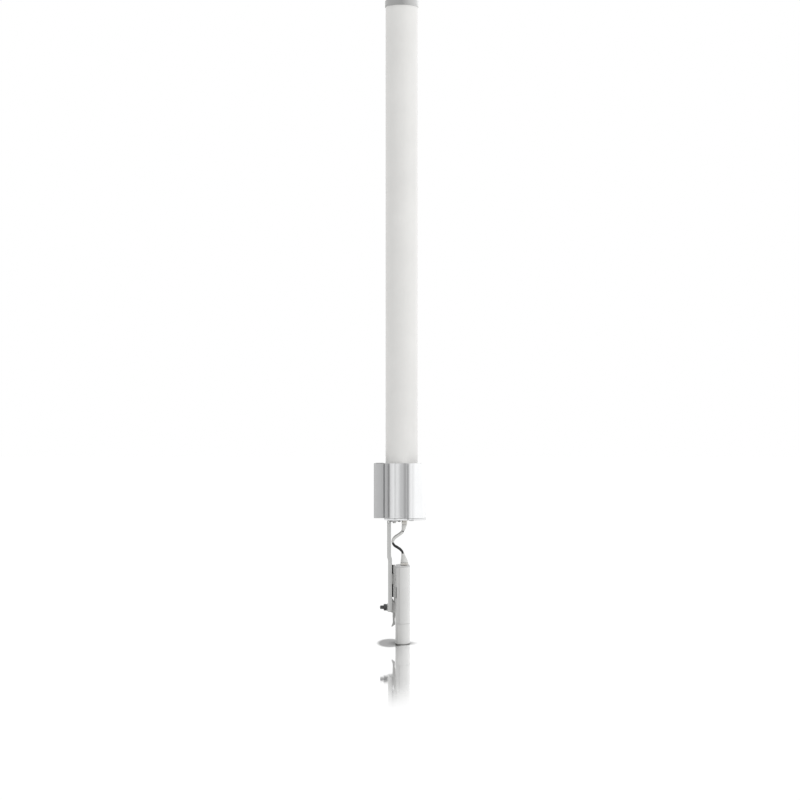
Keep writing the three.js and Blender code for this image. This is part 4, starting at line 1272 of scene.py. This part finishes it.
def ground_screw():
    """Its head faces the rear, with a cross recess."""
    x0, x1 = low("ground_screw")[0], high("ground_screw")[0]
    _, y, z = middle("ground_screw")
    profile = [  # radius, x, corner rounding
        (0, x0), (1.8, x0, 0.5), (2.9, x0 + 0.9, 0.4), (2.9, x0 + 1.7, 0.1), (3.2, x0 + 1.8, 0.1),
        (3.2, x1 - 0.2, 0.1), (1.3, x1 - 0.2, 0), (1.3, x1, 0), (0, x1),
    ]
    screw = lathe(rounded(profile), seg=40, centre=(y, z), axis="X")
    for half_y, half_z in ((2.6, 0.35), (0.35, 2.6)):
        slot = block(x0 - 1, x0 + 0.8, y - half_y, y + half_y, z - half_z, z + half_z)
        boolean(screw, slot)
    return screw


for side, sign in SIDES.items():
    node = "radio_jack_" + side
    place(radio_jack(node, (JACK_X, sign * JACK_Y)), node, "brass_contact")
button = lathe(rounded(BUTTON), seg=40, centre=middle("reset_button")[:2])
place(button, "reset_button", "plastic_dark")
guide = lathe(rounded(LIGHT_PIPE, steps=5), seg=32, centre=middle("light_pipe")[:2])
place(guide, "light_pipe", "clear_guide")
place(ethernet_jack(), "ethernet_jack", "nickel")
place(ground_screw(), "ground_screw", "steel_bright")

# ------------------------------------------------------------------ jumpers
LEAN_TOP, LEAN_LOW = 2.4 / 12.7, 3.2 / 18.3  # shift to the rear for each mm along the boot
TOP_Z, LOW_Z = high("jumper_left_top_boot")[2], low("jumper_left_bottom_boot")[2]
NUT_BORE, BOOT_BORE = 3.5, 2.25
CABLE_PATH = [  # x, z
    (5.27, 242.5), (4.23, 237.0), (3.1, 231.2), (-0.4, 226.4), (-5.8, 222.2), (-12.4, 217.8),
    (-17.2, 212.2), (-18.2, 206.0), (-14.9, 200.2), (-8.4, 196.1), (-2.5, 191.9), (1.4, 187.0),
    (3.1, 180.0), (4.2, 173.6), (5.08, 168.6),
]
SLEEVE_SPAN = slice(24, 69)  # points of the cable's line that the sleeve covers


def sleeve_radius(share):
    """Tapers slowly, drops at the lower end and has soft waves."""
    return 2.75 - 0.10 * share - 0.12 * max(0, (share - 0.92) / 0.08) + 0.05 * math.sin(40 * share)


def coupling_nut(node, radius, depth, teeth, waist, centre):
    """A knurled band round a plain waist, bored through."""
    z0, z1 = low(node)[2], high(node)[2]
    outline = []
    for i in range(teeth * 6):
        a = 2 * math.pi * i / (teeth * 6)
        crest = (0.5 + 0.5 * math.cos(teeth * a)) ** 0.7
        r = radius - depth * (1 - crest)
        outline.append((centre[0] + r * math.cos(a), centre[1] + r * math.sin(a)))
    start, end = z0 + 0.18 * (z1 - z0), z1 - 0.14 * (z1 - z0)
    levels = [
        (start, 0.35), (start + 0.3, 0.05), (start + 0.5, 0),
        (end - 0.5, 0), (end - 0.3, 0.05), (end, 0.35),
    ]
    nut = prism(outline, levels, smooth_angle=40)
    core = rounded([(0, z0), (waist, z0), (waist, z1), (0, z1)], 0.4, 3)
    boolean(nut, lathe(core, seg=72, centre=centre), "UNION", smooth_angle=40)
    bore = [
        (0, z0 - 1), (NUT_BORE + 0.3, z0 - 1), (NUT_BORE + 0.3, z0), (NUT_BORE, z0 + 0.3),
        (NUT_BORE, z1 + 1), (0, z1 + 1),
    ]
    return boolean(nut, lathe(bore, seg=48, centre=centre), smooth_angle=40)


def boot(stations, centre, lean, level_z):
    """A moulded boot of (z, radius) stations, hollow for the cable, that leans from level_z on."""
    profile = [(r, z) for z, r in stations]
    profile += [(BOOT_BORE, z) for z, _ in (stations[-1], stations[0])]
    ob = lathe(clean(profile, 0.02), seg=56, centre=centre, closed=True, smooth_angle=38)
    for v in ob.data.vertices:
        v.co.x -= lean * abs(v.co.z - level_z * MM)
    return ob


def wavy(z0, z1, r0, r1, rings, depth, power=1.0):
    """Stations (z, radius) from z0 to z1 with soft grooves moulded round them."""
    out = []
    count = rings * 8 + 8
    for i in range(count + 1):
        t = i / count
        r = r0 + (r1 - r0) * t ** power
        if 0.18 < t < 0.94:
            r -= depth * max(0.0, math.cos(rings * 2 * math.pi * (t - 0.18) / 0.76)) ** 3
        out.append((z0 + (z1 - z0) * t, r))
    return out


def top_boot(node, centre):
    z = low(node)[2]
    stations = [(z, 2.9), (z + 0.25, 3.1)]
    stations += wavy(z + 0.5, TOP_Z - 0.6, 3.2, 5.25, rings=3, depth=0.42)
    stations += [(TOP_Z - 0.25, 5.35), (TOP_Z, 5.1)]
    return boot(stations, centre, LEAN_TOP, TOP_Z)


def bottom_boot(node, centre):
    z = high(node)[2]
    stations = [(LOW_Z, 7.2), (LOW_Z + 0.3, 7.5)]
    stations += wavy(LOW_Z + 0.6, z - 0.5, 7.55, 2.95, rings=4, depth=0.40, power=0.85)
    stations += [(z - 0.2, 2.85), (z, 2.65)]
    return boot(stations, centre, LEAN_LOW, LOW_Z)


for side, sign in SIDES.items():
    centre = (JACK_X, sign * JACK_Y)
    name = "jumper_" + side
    line = catmull([(x, centre[1], z) for x, z in CABLE_PATH], 10)
    place(sweep(line, 1.95), name + "_cable", "rubber_black")
    place(sweep(line[SLEEVE_SPAN], sleeve_radius, inner=2.15), name + "_sleeve", "rubber_grey")
    node = name + "_top_nut"
    nut = coupling_nut(node, radius=5.7, depth=0.55, teeth=20, waist=5.0, centre=centre)
    place(nut, node, "nickel")
    node = name + "_top_boot"
    place(top_boot(node, centre), node, "rubber_grey")
    node = name + "_bottom_nut"
    nut = coupling_nut(node, radius=8.0, depth=0.65, teeth=28, waist=7.3, centre=centre)
    place(nut, node, "nickel")
    node = name + "_bottom_boot"
    place(bottom_boot(node, centre), node, "rubber_grey")

# ------------------------------------------------------------------ floor (metres from here on)
FLOOR_HALF, FLOOR_DROP = 30, 0.0002
FLOOR_GLOW = 1.14
SHADOW_X, SHADOW_Y = -0.024, 0.006  # centre of the cast shadow's ellipse
SHADOW_HALF_X, SHADOW_HALF_Y = 0.028, 0.110


def floor_shade(tree, position):
    """Contact shadow times an elliptical shadow on the side away from the key light."""
    hollow = tree.node("AmbientOcclusion", {"Distance": 0.020}, samples=8).outputs["AO"]
    contact = tree.maths("POWER", tree.remap(hollow, (0.35, 1.0), (0.40, 1.0)), 1.8)
    ellipse = tree.node("Mapping", {
        "Location": (-SHADOW_X / SHADOW_HALF_X, -SHADOW_Y / SHADOW_HALF_Y, 0),
        "Scale": (1 / SHADOW_HALF_X, 1 / SHADOW_HALF_Y, 0),
        "Vector": position,
    })
    reach = tree.vector("LENGTH", ellipse.outputs["Vector"]).outputs["Value"]
    cast = tree.remap(reach, (0.72, 1.08), (0.26, 1.0), interpolation_type="SMOOTHSTEP")
    return tree.maths("MULTIPLY", contact, cast)


def floor_material():
    """Softly lit white, mirror-like close to the object, fading to plain white."""
    made = bpy.data.materials.new("floor_pale")
    tree = Tree(made)
    position = tree.node("NewGeometry").outputs["Position"]
    shadow = floor_shade(tree, position)
    glow = tree.node("Emission", {"Strength": tree.maths("MULTIPLY", shadow, FLOOR_GLOW)})
    lit_colour = tree.mix(shadow, (0.30, 0.30, 0.30), (0.92, 0.92, 0.92))
    lit = tree.node("BsdfDiffuse", {"Color": lit_colour})
    ground = tree.node("MixShader", {0: 0.35, 1: glow.outputs[0], 2: lit.outputs[0]})
    mirror = tree.node("BsdfGlossy", {
        "Color": tree.mix(shadow, (0.16, 0.16, 0.16), (0.98, 0.98, 0.98)),
        "Roughness": tree.remap(tree.noise(scale=3, detail=3), (0.3, 0.7), (0.03, 0.06)),
    })
    # the mirror's share: a boosted Fresnel that fades with distance from the object
    flat = tree.vector("MULTIPLY", position, (1, 1, 0)).outputs[0]
    away = tree.vector("LENGTH", flat).outputs["Value"]
    fade = tree.remap(away, (0.72, 1.25), (1.0, 0.0), interpolation_type="SMOOTHSTEP")
    fresnel = tree.node("Fresnel", {"IOR": 2.0}).outputs[0]
    share = tree.maths("MINIMUM", tree.maths("MULTIPLY", fresnel, 1.4), 0.92)
    top = tree.node("MixShader", {
        0: tree.maths("MULTIPLY", share, fade), 1: ground.outputs[0], 2: mirror.outputs[0],
    })
    tree.node("OutputMaterial", {"Surface": top.outputs[0]})
    made.cycles.emission_sampling = "NONE"
    return made


def floor():
    mesh = bpy.data.meshes.new("floor")
    r = FLOOR_HALF
    mesh.from_pydata([(-r, -r, 0), (r, -r, 0), (r, r, 0), (-r, r, 0)], [], [(0, 1, 2, 3)])
    ob = bpy.data.objects.new("floor", mesh)
    bpy.context.scene.collection.objects.link(ob)
    ob.location.z = -FLOOR_DROP
    mesh.materials.append(floor_material())
    return ob


FLOOR = floor()


# ------------------------------------------------------------------ world, lights and camera
def world():
    """White to the camera and soft light for matt surfaces; polished metal sees broad panels."""
    made = bpy.data.worlds.new("studio")
    bpy.context.scene.world = made
    tree = Tree(made)
    direction = tree.node("TexCoord").outputs["Generated"]
    split = tree.node("SeparateXYZ", {0: direction})
    back = tree.remap(split.outputs["Y"], (-1, 1), (0.86, 1.0))
    right = tree.remap(split.outputs["X"], (-1, 1), (0.84, 1.08))
    matt = tree.maths("MULTIPLY", back, right)

    gloss = 0.72
    for x, y, start, full, gain in (  # direction, dot product where it starts and is full, gain
        (1.0, 0.0, 0.0, 0.60, 0.58),
        (0.0, 1.0, 0.2, 0.9, 0.36),
        (-0.94, -0.34, 0.40, 0.85, 0.42),
    ):
        dot = tree.vector("DOT_PRODUCT", direction, (x, y, 0)).outputs["Value"]
        gloss = tree.maths("ADD", gloss, tree.remap(dot, (start, full), (0.0, gain)))
    glossy_ray = tree.node("LightPath").outputs["Is Glossy Ray"]
    level = tree.node("Mix", {0: glossy_ray, 2: matt, 3: gloss}).outputs[0]
    soft = tree.node("Background", {"Color": (1, 1, 1, 1), "Strength": level})
    white = tree.node("Background", {"Color": (1, 1, 1, 1), "Strength": 1.0})
    camera_ray = tree.node("LightPath").outputs["Is Camera Ray"]
    shown = tree.node("MixShader", {0: camera_ray, 1: soft.outputs[0], 2: white.outputs[0]})
    tree.node("OutputWorld", {"Surface": shown.outputs[0]})


def area_light(name, power):
    """Both lights share one place, towards +X and the camera, and leave the floor alone."""
    light = bpy.data.lights.new(name, "AREA")
    light.shape = "RECTANGLE"
    light.size, light.size_y = 1.5, 2.6
    light.energy = power
    ob = bpy.data.objects.new(name, light)
    bpy.context.scene.collection.objects.link(ob)
    where, target = Vector((2.3, -1.3, 1.2)), Vector((0, 0, 0.6))
    ob.location = where
    ob.rotation_euler = (target - where).to_track_quat("-Z", "Y").to_euler()
    ob.light_linking.receiver_collection = NO_FLOOR
    return ob


def camera():
    lens = bpy.data.cameras.new("camera")
    ob = bpy.data.objects.new("camera", lens)
    bpy.context.scene.collection.objects.link(ob)
    lens.sensor_width = 36
    lens.lens = 112.5
    lens.shift_y = 0.0325
    lens.clip_end = 200
    ob.location = (-0.0035, -5.125, 0.445)
    ob.rotation_euler = (math.pi / 2, 0, 0)
    bpy.context.scene.camera = ob


world()
NO_FLOOR = bpy.data.collections.new("lights_leave_the_floor_alone")
NO_FLOOR.objects.link(FLOOR)
NO_FLOOR.collection_objects[0].light_linking.link_state = "EXCLUDE"
area_light("key", power=17).visible_glossy = False
area_light("glint", power=4)
camera()

bpy.context.scene.view_settings.view_transform = "Standard"
bpy.context.scene.view_settings.look = "None"
bpy.context.view_layer.update()
